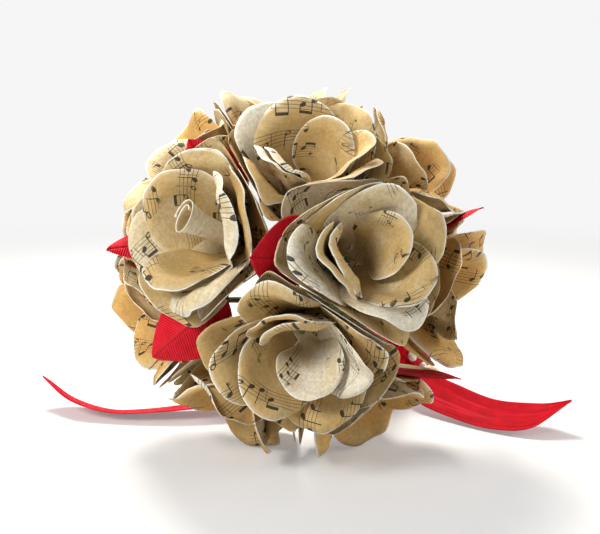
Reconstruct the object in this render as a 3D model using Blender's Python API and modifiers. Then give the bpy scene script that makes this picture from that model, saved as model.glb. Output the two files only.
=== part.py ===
"""A hand-tied bouquet of twelve paper roses, lying on its side on a table.

Each rose is a stack of die-cut card blossoms threaded on a wire stem. The roses make a ball that
faces -Y and a little up. Their stems run into a ribbon-wrapped handle that slopes back and down to
the table, and a satin ribbon is tied round its neck. Six red card leaves stand between the roses.

Lengths are in millimetres and angles in degrees up to make_object, which turns them into metres.
"""

import math
import random
from dataclasses import dataclass
from functools import cached_property

import bmesh
import bpy
import numpy as np
from mathutils import Matrix, Vector

MM = 0.001
UP = np.array([0.0, 0.0, 1.0])

# Clearances and sheet thicknesses
CLEARANCE = 0.3
CARD = 0.35
LEAF_CARD = 0.5
SATIN = 0.5

# The flower ball: where its middle is, and how far out each rose is seated
HEAD_X = 1.7
HEAD_Y = -5.7
HEAD_HEIGHT = 88.0
SEAT_RADIUS = 53.0
SEED = 12
OPEN_MOOD = 0.012
MERIDIAN_STEPS = 40
CURL_RANGE = (0.2, 1.0)

# A petal as it is cut from the flat card
PETAL_LENGTH = 52.0
PETAL_HALF_WIDTH = 20.5
PETAL_BLUNT = 2.3
PETAL_SHOULDER = 0.5
COLLAR_RADIUS = 4.2
COLLAR_BEND = 6.0
COLLAR_PITCH = 1.2
FLARE_START = 0.66
FLARE_EASE = 1.5
CURL_START = 0.4

# The rolled heart of the rose at the left
ROLL_HOLE = 3.4
ROLL_PITCH = 1.5
ROLL_TURNS = 1.4
ROLL_TALL = 30.0
ROLL_FLARE = 1.6
ROLL_SLANT = 2.5
ROLL_START = 0.1
ROLL_SEAT = 1.0
ROLL_GRID = (16, 3)

# How roses give way to each other, to a leaf and to the table
WIDEST_LEAN = 78.0
LIMIT_STEP = 5.0
LIMIT_BLUR = 2
TIP_YIELD = 0.8
LAYER_STEP = 0.75
ROSE_PRESS = 4.0
LEAF_PRESS = 1.2
LEAF_MARGIN = 8.0
LEAF_SLACK = 0.55
PARTING_LENGTH = 0.7
PARTING_FADE = 0.6
TABLE_PRESS = 2.0

# A leaf: half the width of the broadest one, and how its outline tapers to foot and tip
LEAF_HALF_WIDTH = 18.0
LEAF_TAPER = 0.8
LEAF_FOOT = 1.2
LEAF_GRID = (2, 6)

# Stems and handle
STEM_RADIUS = 1.5
STEM_TOP = 5.0
STEM_BEND = 16.0
STEM_EASE = 30.0
STEM_POINTS = 6
CORE_STEMS = 4
BUNDLE_NEST = 0.92
HANDLE_TURN = 36.0
HANDLE_SLOPE = 33.0
BINDING_DEPTH = 64.0
HANDLE_WALL = 1.1
HANDLE_CAP = 1.5
LAP_PITCH = 15.0
LAP_STEP = 0.4
HANDLE_SIDES = 16

# The tied ribbon
RIBBON_WIDTH = 22.0
BOW_DEPTH = 104.0
BOW_TURN = 108.0
KNOT_SIZE = (13.0, 15.0, 9.0)
KNOT_SINK = 2.5
KNOT_SQUARENESS = 0.75
KNOT_GRID = (12, 7)
LOOP_TURN = 20.0
LOOP_REACH = 30.0
LOOP_FULLNESS = 13.0
LOOP_MOUTH = 2.4
LOOP_GATHER = 0.3
LOOP_OPENING = 1.6
LOOP_STATIONS = 9
LOOP_GRID = (4, 10)
PLEAT = 0.9
TAIL_SPREAD = 3.0
TAIL_ROOT = 3.0
TAIL_GRID = (2, 16)

# Pearl-headed pins in the knot and in the handle
PEARL_RADIUS = 2.2
PIN_RADIUS = 0.4
KNOT_PIN = 1.8
PIN_PITCH = 15.0
PIN_SIDES = 8
PEARL_STEPS = 5

CARD_TAN = (0.63, 0.48, 0.24, 1.0)
CARD_CREAM = (0.80, 0.71, 0.50, 1.0)
LEAF_RED = (0.62, 0.015, 0.03, 1.0)
RIBBON_RED = (0.80, 0.012, 0.03, 1.0)
STEM_GREEN = (0.16, 0.22, 0.08, 1.0)
PEARL_WHITE = (0.86, 0.84, 0.78, 1.0)


def direction(turn, lift):
    """The unit vector turned from -Y towards +X, and lifted above the table."""
    t, v = math.radians(turn), math.radians(lift)
    return np.array([math.sin(t) * math.cos(v), -math.cos(t) * math.cos(v), math.sin(v)])


def unit(vector):
    return vector / np.linalg.norm(vector)


def across(axis, guide):
    """Two unit vectors at right angles to the axis, the second on the guide's side."""
    side = unit(np.cross(guide, axis))
    return side, np.cross(axis, side)


def smooth(t):
    t = np.clip(t, 0.0, 1.0)
    return t * t * (3.0 - 2.0 * t)


@dataclass(frozen=True)
class Blossom:
    """One die-cut blossom.

    Each petal opens from 0, on the axis, to 1, as far as there is room. It bends round the rose where
    flat is 0, and stays as flat as card across its width where flat is 1.
    """

    name: str
    opens: tuple
    reach: float
    cup: float
    flare: float
    side_curl: float
    spiral: float
    flat: float
    columns: int
    rows: tuple


@dataclass(frozen=True)
class Rose:
    """One rose: the directions of its seat on the ball and of its face, and its spin on its stem."""

    name: str
    seat: tuple
    face: tuple
    spin: float
    blossoms: tuple

    @property
    def base(self):
        return HEAD + SEAT_RADIUS * direction(*self.seat)

    @cached_property
    def limits(self):
        return lean_limits(self)

    def level(self, blossom):
        return self.blossoms.index(blossom)


@dataclass(frozen=True)
class Leaf:
    """One folded leaf, from its root to its tip.

    Each is a direction from the head and how far out it is from the seats, as a share of a petal's
    length. The leaf's width is a share of the broadest leaf's, and its fold an angle in degrees.
    """

    name: str
    root: tuple
    tip: tuple
    faces: tuple
    width_share: float
    fold: float
    arch: float

    @property
    def half_width(self):
        return self.width_share * LEAF_HALF_WIDTH


HEAD = np.array([HEAD_X, HEAD_Y, HEAD_HEIGHT])
HEAD_FOOT = np.array([HEAD_X, HEAD_Y, 0.0])

FRONT_ROWS = (0.0, 0.42, 0.76, 1.0)
RING_ROWS = (0.0, 0.55, 1.0)

OUTER = Blossom("outer", (0.98, 0.92, 1.0, 0.95, 0.9), 1.0, 14, 36, 0.05, 0.05, 0.6, 4, FRONT_ROWS)
MIDDLE = Blossom("middle", (0.685, 0.65, 0.7, 0.66), 0.98, 14, 34, 0.05, 0.04, 0.3, 4, FRONT_ROWS)
INNER = Blossom("inner", (0.44, 0.48, 0.46), 0.92, 14, 28, 0.04, 0.035, 0.1, 4, FRONT_ROWS)
HEART = Blossom("heart", (0.24, 0.21), 0.76, 13, 20, 0.03, 0.03, 0.0, 4, FRONT_ROWS)

RING_OUTER = Blossom("outer", (0.92, 0.98, 0.9, 0.96, 0.93), 1.0, 14, 36, 0.05, 0.05, 0.6, 4, RING_ROWS)
RING_INNER = Blossom("inner", (0.6, 0.56, 0.62), 0.97, 14, 34, 0.05, 0.04, 0.3, 4, RING_ROWS)
RING_HEART = Blossom("heart", (0.3, 0.27), 0.8, 13, 22, 0.03, 0.03, 0.0, 4, RING_ROWS)
RING_BUD = Blossom("bud", (0.52, 0.48, 0.55, 0.5, 0.46), 0.9, 13, 30, 0.04, 0.05, 0.3, 2, RING_ROWS)

FRONT = (OUTER, MIDDLE, INNER, HEART)
ROLLED = (OUTER, MIDDLE, INNER)
RING = (RING_OUTER, RING_INNER, RING_HEART)
BACK = (RING_OUTER, RING_BUD)

ROSES = (
    Rose("rose_left", (-40, 25), (-44, 26), 29, ROLLED),
    Rose("rose_top", (5, 52), (4, 54), 225, FRONT),
    Rose("rose_right", (23, 16), (22, 24), 197, FRONT),
    Rose("rose_low", (1, -16), (0, -12), 112, FRONT),
    Rose("rose_upper_left", (-79, 44), (-65, 45), 20, RING),
    Rose("rose_crown", (-98, 83), (-15, 74), 45, RING),
    Rose("rose_upper_right", (74, 44), (60, 44), 5, RING),
    Rose("rose_far_right", (71, -3), (60, 0), 30, RING),
    Rose("rose_lower_left", (-76, -15), (-64, -12), 66, RING),
    Rose("rose_base_left", (-49, -53), (-42, -46), 50, BACK),
    Rose("rose_base_right", (45, -53), (38, -46), 12, BACK),
    Rose("rose_far_left", (-102, 11), (-92, 12), 33, BACK),
)

HANDLE_AXIS = -direction(-HANDLE_TURN, HANDLE_SLOPE)
HANDLE_SIDE, HANDLE_TOP = across(HANDLE_AXIS, UP)
BOW_OUT = math.cos(math.radians(BOW_TURN)) * HANDLE_TOP - math.sin(math.radians(BOW_TURN)) * HANDLE_SIDE

# Each leaf runs out between the roses in front of it and those behind it
LEAVES = (
    Leaf("leaf_centre", (8.3, 18.7, 0.1077), (-14, 15.5, 0.6731), (-15, 3), 1.0, 14, 3),
    Leaf("leaf_lower_left", (-28.9, 0.9, 0.2885), (-48.7, -17.2, 0.7596), (-52, -26), 0.89, 28, 4),
    Leaf("leaf_top_left", (-40.8, 44.1, 0.1019), (-49.2, 46.5, 0.8115), (-33, 36), 0.67, 10, 2),
    Leaf("leaf_far_left", (-78.9, 18.9, 0.0885), (-71.7, 10, 0.8423), (-36, 26), 0.56, 8, 0),
    Leaf("leaf_right", (85.2, 19.9, 0.1538), (69, 22.4, 0.8635), (41, 34), 0.56, 8, 0),
    Leaf("leaf_low_right", (48.8, -37.6, 0.2404), (54.9, -23.5, 0.8712), (180, 82), 0.56, 0, 0),
)

# The ribbon's tails: places from the table under the head, half widths, and the ways across
LEFT_TAIL = (
    ((46, 60, 17), 6.0, (0.5, 1.0, 0.2)),
    ((24, 52, 9), 10.0, (0.2, 1.0, 0.1)),
    ((-4, 43, 7), 11.0, (-0.1, 1.0, -0.05)),
    ((-32, 36, 7.5), 11.0, (-0.2, 0.93, -0.16)),
    ((-57, 30, 6.5), 11.0, (-0.2, 0.93, -0.2)),
    ((-82, 28, 4.5), 11.0, (-0.2, 0.92, -0.24)),
    ((-104, 30, 3.6), 11.0, (-0.2, 0.92, -0.24)),
    ((-126, 37, 8), 11.0, (-0.26, 0.92, -0.16)),
    ((-144, 46, 18), 1.0, (-0.35, 0.95, 0.1)),
)
RIGHT_TAIL = (
    ((59, 58, 20), 6.0, (0.3, 0.75, 0.6)),
    ((66, 45, 13.5), 10.5, (0.2, 0.7, 0.65)),
    ((83, 29, 9.5), 11.0, (0.2, 0.75, 0.6)),
    ((103, 15, 6.5), 11.0, (0.2, 0.85, 0.42)),
    ((124, 8, 8.5), 11.0, (0.3, 0.92, 0.25)),
    ((141, 4, 18), 1.0, (0.35, 0.95, 0.1)),
)


def hole_radius():
    """The hole in a blossom's middle clears the stem that passes through it."""
    return STEM_RADIUS + CLEARANCE + CARD / 2


def stack_heights(blossoms):
    """Where each blossom sits on the stem: its flat collar lies on the one below."""
    return [COLLAR_PITCH * place for place in range(len(blossoms))]


def outline_half_width(x):
    """Half the width of a flat petal, x from the blossom's middle: a flank, then a round end."""
    widest = PETAL_LENGTH - PETAL_HALF_WIDTH
    root = COLLAR_RADIUS * math.tan(math.pi / 6)
    rise = np.sin(0.5 * math.pi * np.clip((x - COLLAR_RADIUS) / (widest - COLLAR_RADIUS), 0, 1))
    flank = root + (PETAL_HALF_WIDTH - root) * rise
    past = np.clip((x - widest) / PETAL_HALF_WIDTH, 0, 1)
    end = PETAL_HALF_WIDTH * (1.0 - past**PETAL_BLUNT) ** (1.0 / PETAL_BLUNT)
    return np.where(x < widest, flank, end)


def flat_petal(v, s):
    """The point of the flat petal at v from collar to tip, and s from edge to edge."""
    shoulder = PETAL_LENGTH - PETAL_SHOULDER * PETAL_HALF_WIDTH
    side_x = COLLAR_RADIUS + (shoulder - COLLAR_RADIUS) * v
    x = side_x + (PETAL_LENGTH - shoulder) * v**2 * (1.0 - np.abs(s) ** PETAL_BLUNT)
    return x, s * outline_half_width(side_x)


def meridian(r, lean, blossom):
    """Radius and height above the collar of points at distance r along petals of that lean."""
    share = (np.arange(MERIDIAN_STEPS) + 0.5) / MERIDIAN_STEPS
    r, lean = np.broadcast_arrays(r, lean)
    walked = r[..., None] * share
    t = walked / PETAL_LENGTH
    bend = smooth((walked - COLLAR_RADIUS) / COLLAR_BEND)
    tip = smooth((t - FLARE_START) / (1.0 - FLARE_START)) ** FLARE_EASE
    angle = 90.0 + (lean[..., None] + blossom.cup * (1.0 - 2.0 * t) - 90.0) * bend + blossom.flare * tip
    angle = np.radians(angle)
    return r * np.sin(angle).mean(axis=-1), r * np.cos(angle).mean(axis=-1)


def petal_bearing(rose, blossom, index):
    """The turn of a petal's middle line round the rose's axis, in degrees."""
    return rose.spin + 360.0 / len(blossom.opens) * index


def spoke_at(rose, bearing):
    """Unit vectors across the rose's axis, one along each bearing."""
    side, top = across(direction(*rose.face), UP)
    turn = np.radians(bearing)
    return np.multiply.outer(np.cos(turn), side) + np.multiply.outer(np.sin(turn), top)


def lean_limits(rose):
    """How far petals can lean, in degrees, at each bearing, before they meet the next roses."""
    bearings = np.arange(0.0, 360.0, LIMIT_STEP)
    axis = direction(*rose.face)
    spoke = spoke_at(rose, bearings)
    limit = np.full(bearings.shape, WIDEST_LEAN)
    for other in ROSES:
        if other.name == rose.name:
            continue
        normal = unit(direction(*other.seat) - direction(*rose.seat))
        distance = -layer_gap(0) - (rose.base - HEAD) @ normal
        swing = np.hypot(spoke @ normal, axis @ normal) * PETAL_LENGTH * TIP_YIELD
        towards = np.arctan2(spoke @ normal, axis @ normal) % (2 * math.pi)
        meets = np.degrees(towards - np.arccos(np.clip(distance / swing, -1.0, 1.0)))
        limit = np.where(distance < swing, np.minimum(limit, meets), limit)
    near = [np.roll(limit, step) for step in range(-LIMIT_BLUR, LIMIT_BLUR + 1)]
    tight = np.min(near, axis=0)
    near = [np.roll(tight, step) for step in range(-LIMIT_BLUR, LIMIT_BLUR + 1)]
    return bearings, np.mean(near, axis=0)


def layer_gap(level):
    """How far a blossom keeps from what presses on its rose: each level a card behind the last."""
    return LEAF_CARD / 2 + CARD / 2 + CLEARANCE + LAYER_STEP * level


def petal_points(rose, blossom, height, index, v, s):
    """The petal's surface points in the bouquet's frame, before leaves and table press on it."""
    mood = random.Random(f"{SEED} {rose.name} {blossom.name} {index}")
    open_share = blossom.opens[index] + mood.uniform(-OPEN_MOOD, OPEN_MOOD)
    curl_left, curl_right = mood.uniform(*CURL_RANGE), mood.uniform(*CURL_RANGE)

    v = np.round(v, 4)
    on_collar = v <= 0.0
    ring = hole_radius() + (COLLAR_RADIUS - hole_radius()) * np.minimum(v + 1.0, 1.0)
    x, y = flat_petal(np.maximum(v, 0.0), s)
    r = np.where(on_collar, ring, COLLAR_RADIUS + (x - COLLAR_RADIUS) * blossom.reach)

    edge = np.clip((np.abs(s) - CURL_START) / (1.0 - CURL_START), 0.0, 1.0) ** 2
    curl = blossom.side_curl * edge * np.where(s < 0, curl_left, curl_right)
    grown = smooth((r - COLLAR_RADIUS) / (3 * COLLAR_BEND))
    open_share = open_share + (curl + blossom.spiral * s) * grown

    bearings, limits = rose.limits
    middle = petal_bearing(rose, blossom, index)
    lean = open_share * np.interp(middle, bearings, limits, period=360.0)
    radius, _ = meridian(r, lean, blossom)
    bow = radius / (1.0 - blossom.flat)
    out = radius - bow + bow * np.cos(y * blossom.reach / bow)
    aside = bow * np.sin(y * blossom.reach / bow)
    stretch = np.where(on_collar, 1.0, np.hypot(aside, out) / radius)
    off = np.where(on_collar, s * 180.0 / len(blossom.opens), np.degrees(np.arctan2(aside, out)))
    lean = open_share * np.interp(middle + off, bearings, limits, period=360.0)
    radius, rise = meridian(r, lean, blossom)

    spoke = spoke_at(rose, middle + off)
    axis = direction(*rose.face)
    return rose.base + (radius * stretch)[..., None] * spoke + np.multiply.outer(rise + height, axis)


def pressed(distance, soft, gap):
    """Distances past a face, eased over a soft depth so that none comes nearer to it than the gap."""
    past = distance + gap + soft
    squeezed = -gap - soft * np.exp(-np.maximum(past, 0.0) / soft)
    return np.where(past > 0.0, squeezed, distance)


def press_against_roses(points, rose, level):
    """Presses petals flat where they still meet the next rose, halfway between the two."""
    for other in ROSES:
        if other.name == rose.name:
            continue
        normal = unit(direction(*other.seat) - direction(*rose.seat))
        distance = (points - HEAD) @ normal
        moved = pressed(distance, ROSE_PRESS, layer_gap(level))
        points = points + np.multiply.outer(moved - distance, normal)
    return points


def press_against_table(points, level=0):
    """Flattens what the bouquet lies on."""
    distance = -points[..., 2]
    lift = distance - pressed(distance, TABLE_PRESS, CARD / 2 + LAYER_STEP * level)
    return points + np.multiply.outer(lift, UP)


def leaf_point(place):
    """A leaf's root or tip, from its direction and its distance past the roses' seats."""
    turn, lift, share = place
    return HEAD + (SEAT_RADIUS + share * PETAL_LENGTH) * direction(turn, lift)


def leaf_frame(leaf):
    """A leaf's root, its length, and its unit vectors along, across and out of the blade."""
    root, tip = leaf_point(leaf.root), leaf_point(leaf.tip)
    length = np.linalg.norm(tip - root)
    along = (tip - root) / length
    outward = direction(*leaf.faces)
    outward = unit(outward - along * (outward @ along))
    return root, length, along, np.cross(outward, along), outward


def leaf_height(leaf, length, x, y):
    """How far the blade stands out of its own plane: an arch along it and a fold down its rib."""
    t = x / length
    arch = leaf.arch * 4.0 * t * (1.0 - t)
    return arch - np.sqrt(y * y + 1.0) * math.tan(math.radians(leaf.fold))


def press_against_leaves(points, rose, level):
    """Parts the petals round each leaf: a rose stays on the side of it where its middle is."""
    bloom_middle = rose.base + direction(*rose.face) * PETAL_LENGTH / 2
    from_base = np.linalg.norm(points - rose.base, axis=-1)
    free = smooth((from_base - 2 * COLLAR_RADIUS) / (2 * COLLAR_BEND))
    for leaf in LEAVES:
        root, length, along, aside, outward = leaf_frame(leaf)
        way = -1.0 if (bloom_middle - root) @ outward > 0.0 else 1.0
        local = points - root
        x, y, z = local @ along, local @ aside, local @ outward
        stand = leaf_height(leaf, length, np.clip(x, 0.0, length), y)
        spot = np.hypot((x / length - 0.5) / PARTING_LENGTH, y / (leaf.half_width + LEAF_MARGIN))
        weight = free * (1.0 - smooth((spot - 1.0) / PARTING_FADE))
        moved = stand + way * pressed(way * (z - stand), LEAF_PRESS, layer_gap(level) + LEAF_SLACK)
        points = points + np.multiply.outer(weight * (moved - z), outward)
    return points


def card_material(name, colour, roughness=0.75, metallic=0.0):
    material = bpy.data.materials.new(name)
    material.use_nodes = True
    shader = material.node_tree.nodes["Principled BSDF"]
    shader.inputs["Base Color"].default_value = colour
    shader.inputs["Roughness"].default_value = roughness
    shader.inputs["Metallic"].default_value = metallic
    material.diffuse_color = colour
    return material


def make_object(name, mesh, colour, roughness=0.75):
    item = bpy.data.objects.new(name, mesh)
    mesh.materials.append(card_material(name, colour, roughness))
    BOUQUET.objects.link(item)
    return item


def mesh_from(bm, name):
    """A mesh in metres from a bmesh in millimetres, shaded smooth."""
    bmesh.ops.scale(bm, vec=(MM, MM, MM), verts=bm.verts)
    bmesh.ops.remove_doubles(bm, verts=bm.verts, dist=1e-6)
    mesh = bpy.data.meshes.new(name)
    bm.to_mesh(mesh)
    bm.free()
    mesh.shade_smooth()
    mesh.set_sharp_from_angle(angle=math.radians(50))
    return mesh


def grid_patch(bm, columns, rows, place):
    """Adds a grid whose points are placed by a function of its column and row, each 0 to 1."""
    made = bmesh.ops.create_grid(bm, x_segments=columns, y_segments=rows, size=1.0)
    flat = np.array([vertex.co for vertex in made["verts"]])
    points = place((flat[:, 0] + 1.0) / 2.0, (flat[:, 1] + 1.0) / 2.0)
    for vertex, point in zip(made["verts"], points):
        vertex.co = Vector(point)


def thicken(item, thickness, offset=0.0):
    solid = item.modifiers.new("Thickness", "SOLIDIFY")
    solid.thickness = thickness * MM
    solid.offset = offset
    return item


def make_blossom(rose, blossom, height):
    """One die-cut blossom of a rose: a collar round the stem and its ring of curled petals."""
    bm = bmesh.new()
    level = rose.level(blossom)
    knots = (-1.0,) + blossom.rows
    for index in range(len(blossom.opens)):

        def place(across_share, along_share, index=index):
            v = np.interp(along_share * (len(knots) - 1), range(len(knots)), knots)
            s = 2.0 * across_share - 1.0
            points = petal_points(rose, blossom, height, index, v, s)
            points = press_against_roses(points, rose, level)
            points = press_against_leaves(points, rose, level)
            return press_against_table(points, len(rose.blossoms) - 1 - level)

        grid_patch(bm, blossom.columns, len(knots) - 1, place)
    name = f"{rose.name}_{blossom.name}"
    colour = CARD_CREAM if blossom.name == "outer" else CARD_TAN
    return thicken(make_object(name, mesh_from(bm, name), colour), CARD)


def make_roll(rose):
    """The heart of one rose, a strip rolled up into an open spiral that stands on the petals below."""
    below = rose.blossoms[-1]
    height = stack_heights(rose.blossoms)[-1]
    steepest = (min(below.opens) - below.spiral - OPEN_MOOD) * rose.limits[1].min()
    along, _ = flat_petal(np.array(below.rows), 0.0)
    along = COLLAR_RADIUS + (along - COLLAR_RADIUS) * below.reach
    seat_radius, seat_height = meridian(along, steepest, below)
    axis = direction(*rose.face)
    side, top = across(axis, UP)

    def place(across_share, along_share):
        turn = 2 * math.pi * (across_share * ROLL_TURNS + ROLL_START)
        wide = ROLL_HOLE + ROLL_PITCH * across_share * ROLL_TURNS
        foot = height + np.interp(wide + ROLL_SEAT, seat_radius, seat_height) + CARD + CLEARANCE
        ring = wide * (1.0 + (ROLL_FLARE - 1.0) * along_share**3)
        rise = foot + (height + ROLL_TALL + ROLL_SLANT * np.cos(turn) - foot) * along_share
        x, y = ring * np.cos(turn), ring * np.sin(turn)
        return rose.base + sum(np.multiply.outer(a, b) for a, b in ((x, side), (y, top), (rise, axis)))

    bm = bmesh.new()
    grid_patch(bm, *ROLL_GRID, place)
    name = f"{rose.name}_heart"
    return thicken(make_object(name, mesh_from(bm, name), CARD_CREAM), CARD)


def bundle_place(index):
    """Where a stem runs in the handle: the first few in its core, the others in a ring round them."""
    pitch = 2 * STEM_RADIUS + CLEARANCE
    core = pitch / (2 * math.sin(math.pi / CORE_STEMS))
    ring_count = len(ROSES) - CORE_STEMS
    ring = max(pitch / (2 * math.sin(math.pi / ring_count)), core + BUNDLE_NEST * pitch)
    if index < CORE_STEMS:
        return core, 2 * math.pi * (index + 0.5) / CORE_STEMS
    return ring, 2 * math.pi * (index - CORE_STEMS + 0.5) / ring_count


def bundle_radius():
    return bundle_place(len(ROSES) - 1)[0] + STEM_RADIUS


def wrap_inner_radius():
    return bundle_radius() + CLEARANCE


def wrap_outer_radius():
    return wrap_inner_radius() + HANDLE_WALL + LAP_STEP


def handle_reach():
    """How far the handle's end is from the head, so that its last lap just meets the table."""
    slope = math.radians(HANDLE_SLOPE)
    return (HEAD_HEIGHT - wrap_outer_radius() * math.cos(slope)) / math.sin(slope) + LAP_STEP


def order_round_handle(roses):
    """The roses in the order in which they lie round the handle's axis."""

    def bearing(rose):
        seat = direction(*rose.seat)
        return math.atan2(seat @ HANDLE_TOP, seat @ HANDLE_SIDE) % (2 * math.pi)

    return sorted(roses, key=bearing)


def stem_route(rose, index):
    """Points from the rose's seat, through the binding, to the end of the handle."""
    ring, bearing = bundle_place(index)
    lane = ring * (math.cos(bearing) * HANDLE_SIDE + math.sin(bearing) * HANDLE_TOP)
    face = direction(*rose.face)
    start = rose.base + face * STEM_TOP
    bend = rose.base - face * STEM_BEND
    binding = HEAD + HANDLE_AXIS * BINDING_DEPTH + lane
    end = HEAD + HANDLE_AXIS * (handle_reach() - HANDLE_CAP - CLEARANCE) + lane
    entry = binding - HANDLE_AXIS * STEM_EASE
    t = np.linspace(0.0, 1.0, STEM_POINTS)[:, None]
    leaving = (1 - t) ** 3 * rose.base + 3 * (1 - t) ** 2 * t * bend
    arriving = 3 * (1 - t) * t**2 * entry + t**3 * binding
    return np.vstack([start, leaving + arriving, end])


def make_stem(rose, index):
    """One wire stem, wound with green paper tape."""
    route = stem_route(rose, index)
    curve = bpy.data.curves.new(f"{rose.name}_stem", "CURVE")
    curve.dimensions = "3D"
    curve.bevel_depth = STEM_RADIUS * MM
    curve.bevel_resolution = 1
    curve.use_fill_caps = True
    spline = curve.splines.new("POLY")
    spline.points.add(len(route) - 1)
    for point, place in zip(spline.points, route):
        point.co = (*(place * MM), 1.0)
    return make_object(f"{rose.name}_stem", curve, STEM_GREEN, 0.8)


def placed(item, origin, z_way, guide):
    """Moves an object made round its own Z, so that Z runs that way from the origin."""
    x_way, y_way = across(z_way, guide)
    turn = Matrix(np.column_stack([x_way, y_way, z_way])).to_4x4()
    item.matrix_world = Matrix.Translation(Vector(origin * MM)) @ turn
    return item


def turned(name, profile, steps, colour, roughness, closed=False):
    """A profile of (radius, height) points turned round its own Z, its outer side top to bottom."""
    count = len(profile)
    edges = [(i, (i + 1) % count) for i in range(count if closed else count - 1)]
    mesh = bpy.data.meshes.new(name)
    mesh.from_pydata([(radius * MM, 0.0, height * MM) for radius, height in profile], edges, [])
    item = make_object(name, mesh, colour, roughness)
    screw = item.modifiers.new("Turn", "SCREW")
    screw.angle = 2 * math.pi
    screw.steps = steps
    screw.render_steps = steps
    screw.use_merge_vertices = True
    screw.merge_threshold = 1e-6
    screw.use_smooth_shade = True
    return item


def on_handle(depth, off=None, distance=0.0):
    """A point that far down the handle from the head, and off its axis that way."""
    point = HEAD + HANDLE_AXIS * depth
    return point if off is None else point + off * distance


def put_away(item, collection):
    """Moves an object that only shapes another one out of the bouquet."""
    if item.name in BOUQUET.objects:
        BOUQUET.objects.unlink(item)
        collection.objects.link(item)
    item.hide_render = True
    item.display_type = "WIRE"


def use_cutter(item, cutter):
    change = item.modifiers.new(cutter.name, "BOOLEAN")
    change.operation = "DIFFERENCE"
    change.object = cutter
    put_away(cutter, CUTTERS)


def join_ribbon(item, pieces):
    """Joins the ribbon's pieces to its band in one union."""
    join = item.modifiers.new("Join", "BOOLEAN")
    join.operation = "UNION"
    join.operand_type = "COLLECTION"
    join.collection = RIBBON_PIECES
    for piece in pieces:
        put_away(piece, RIBBON_PIECES)


def make_handle_wrap():
    """The satin ribbon wound round the stems in stepped laps, and folded over their cut ends."""
    inner = wrap_inner_radius()
    outer = inner + HANDLE_WALL
    length = handle_reach() - BINDING_DEPTH
    laps = max(1, round(length / LAP_PITCH))
    pitch = length / laps
    profile = [(0.0, HANDLE_CAP - length), (inner, HANDLE_CAP - length), (inner, 0.0), (outer, 0.0)]
    for lap in range(laps):
        foot = -pitch * (lap + 1)
        profile.append((outer + LAP_STEP, foot + LAP_STEP))
        profile.append((outer, foot))
    profile.append((0.0, -length))
    item = turned("handle_wrap", profile, HANDLE_SIDES, RIBBON_RED, 0.35)
    placed(item, on_handle(BINDING_DEPTH), -HANDLE_AXIS, UP)
    wall = HANDLE_WALL + LAP_STEP
    for index in (1, 2):
        depth = BOW_DEPTH + PIN_PITCH * index
        use_cutter(item, make_pin_hole(f"wrap_pin_hole_{index}", depth, wrap_outer_radius(), wall))
    return item


def make_pin_hole(name, depth, seat, length):
    """The hole that a pin's shank goes into."""
    radius = PIN_RADIUS + CLEARANCE
    foot = -length - CLEARANCE
    profile = [(0.0, PEARL_RADIUS), (radius, PEARL_RADIUS), (radius, foot), (0.0, foot)]
    item = turned(name, profile, PIN_SIDES, STEM_GREEN, 0.5)
    return placed(item, on_handle(depth, BOW_OUT, seat), BOW_OUT, HANDLE_AXIS)


def make_pin(name, depth, seat, length):
    """A pin with a pearl head, which stands just off the satin on its shank."""
    middle = CLEARANCE + PEARL_RADIUS
    profile = []
    for step in range(PEARL_STEPS):
        angle = math.pi * step / PEARL_STEPS
        profile.append((PEARL_RADIUS * math.sin(angle), middle + PEARL_RADIUS * math.cos(angle)))
    profile += [(PIN_RADIUS, CLEARANCE), (PIN_RADIUS, -length), (0.0, -length)]
    item = turned(name, profile, PIN_SIDES, PEARL_WHITE, 0.25)
    return placed(item, on_handle(depth, BOW_OUT, seat), BOW_OUT, HANDLE_AXIS)


def make_leaf(leaf):
    """A pointed leaf of ribbed card, folded down its rib and arched along it."""
    root, length, along, aside, outward = leaf_frame(leaf)

    def place(across_share, along_share):
        s = 2.0 * across_share - 1.0
        x = along_share * length
        taper = np.sin(math.pi * np.clip(along_share, 0, 1) ** LEAF_TAPER) ** LEAF_TAPER
        width = np.maximum(leaf.half_width * taper, LEAF_FOOT * (1 - along_share))
        y = s * width
        z = leaf_height(leaf, length, x, y)
        spread = [np.multiply.outer(a, b) for a, b in ((x, along), (y, aside), (z, outward))]
        return press_against_table(root + sum(spread))

    bm = bmesh.new()
    grid_patch(bm, *LEAF_GRID, place)
    return thicken(make_object(leaf.name, mesh_from(bm, leaf.name), LEAF_RED, 0.6), LEAF_CARD)


def eased(values, count):
    """That many values along a smooth curve through the given ones, as a Catmull-Rom spline."""
    values = np.array(values, float)
    padded = np.vstack([2 * values[0] - values[1], values, 2 * values[-1] - values[-2]])
    share = np.linspace(0, len(values) - 1, count)
    start = np.minimum(share.astype(int), len(values) - 2)
    f = (share - start)[:, None]
    a, b, c, d = (padded[start + step] for step in range(4))
    bend = (2 * a - 5 * b + 4 * c - d) * f**2 + (3 * b - a - 3 * c + d) * f**3
    return b + 0.5 * ((c - a) * f + bend)


def make_strip(name, stations, columns, rows):
    """A satin strip through stations of place, half width and way across, pleated where it narrows."""
    line = eased([station[0] for station in stations], rows + 1)
    half = eased([[station[1]] for station in stations], rows + 1)[:, 0]
    way = eased([station[2] for station in stations], rows + 1)
    way = way / np.linalg.norm(way, axis=1)[:, None]
    face = np.cross(np.gradient(line, axis=0), way)
    face = face / np.linalg.norm(face, axis=1)[:, None]
    gather = 1.0 - half / half.max()

    def place(across_share, along_share):
        i = np.rint(along_share * rows).astype(int)
        column = np.rint(across_share * columns)
        ripple = PLEAT * gather[i] * np.cos(math.pi * column)
        s = 2.0 * across_share - 1.0
        return line[i] + way[i] * (s * half[i])[:, None] + face[i] * ripple[:, None]

    bm = bmesh.new()
    grid_patch(bm, columns, rows, place)
    return thicken(make_object(name, mesh_from(bm, name), RIBBON_RED, 0.35), SATIN)


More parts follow.
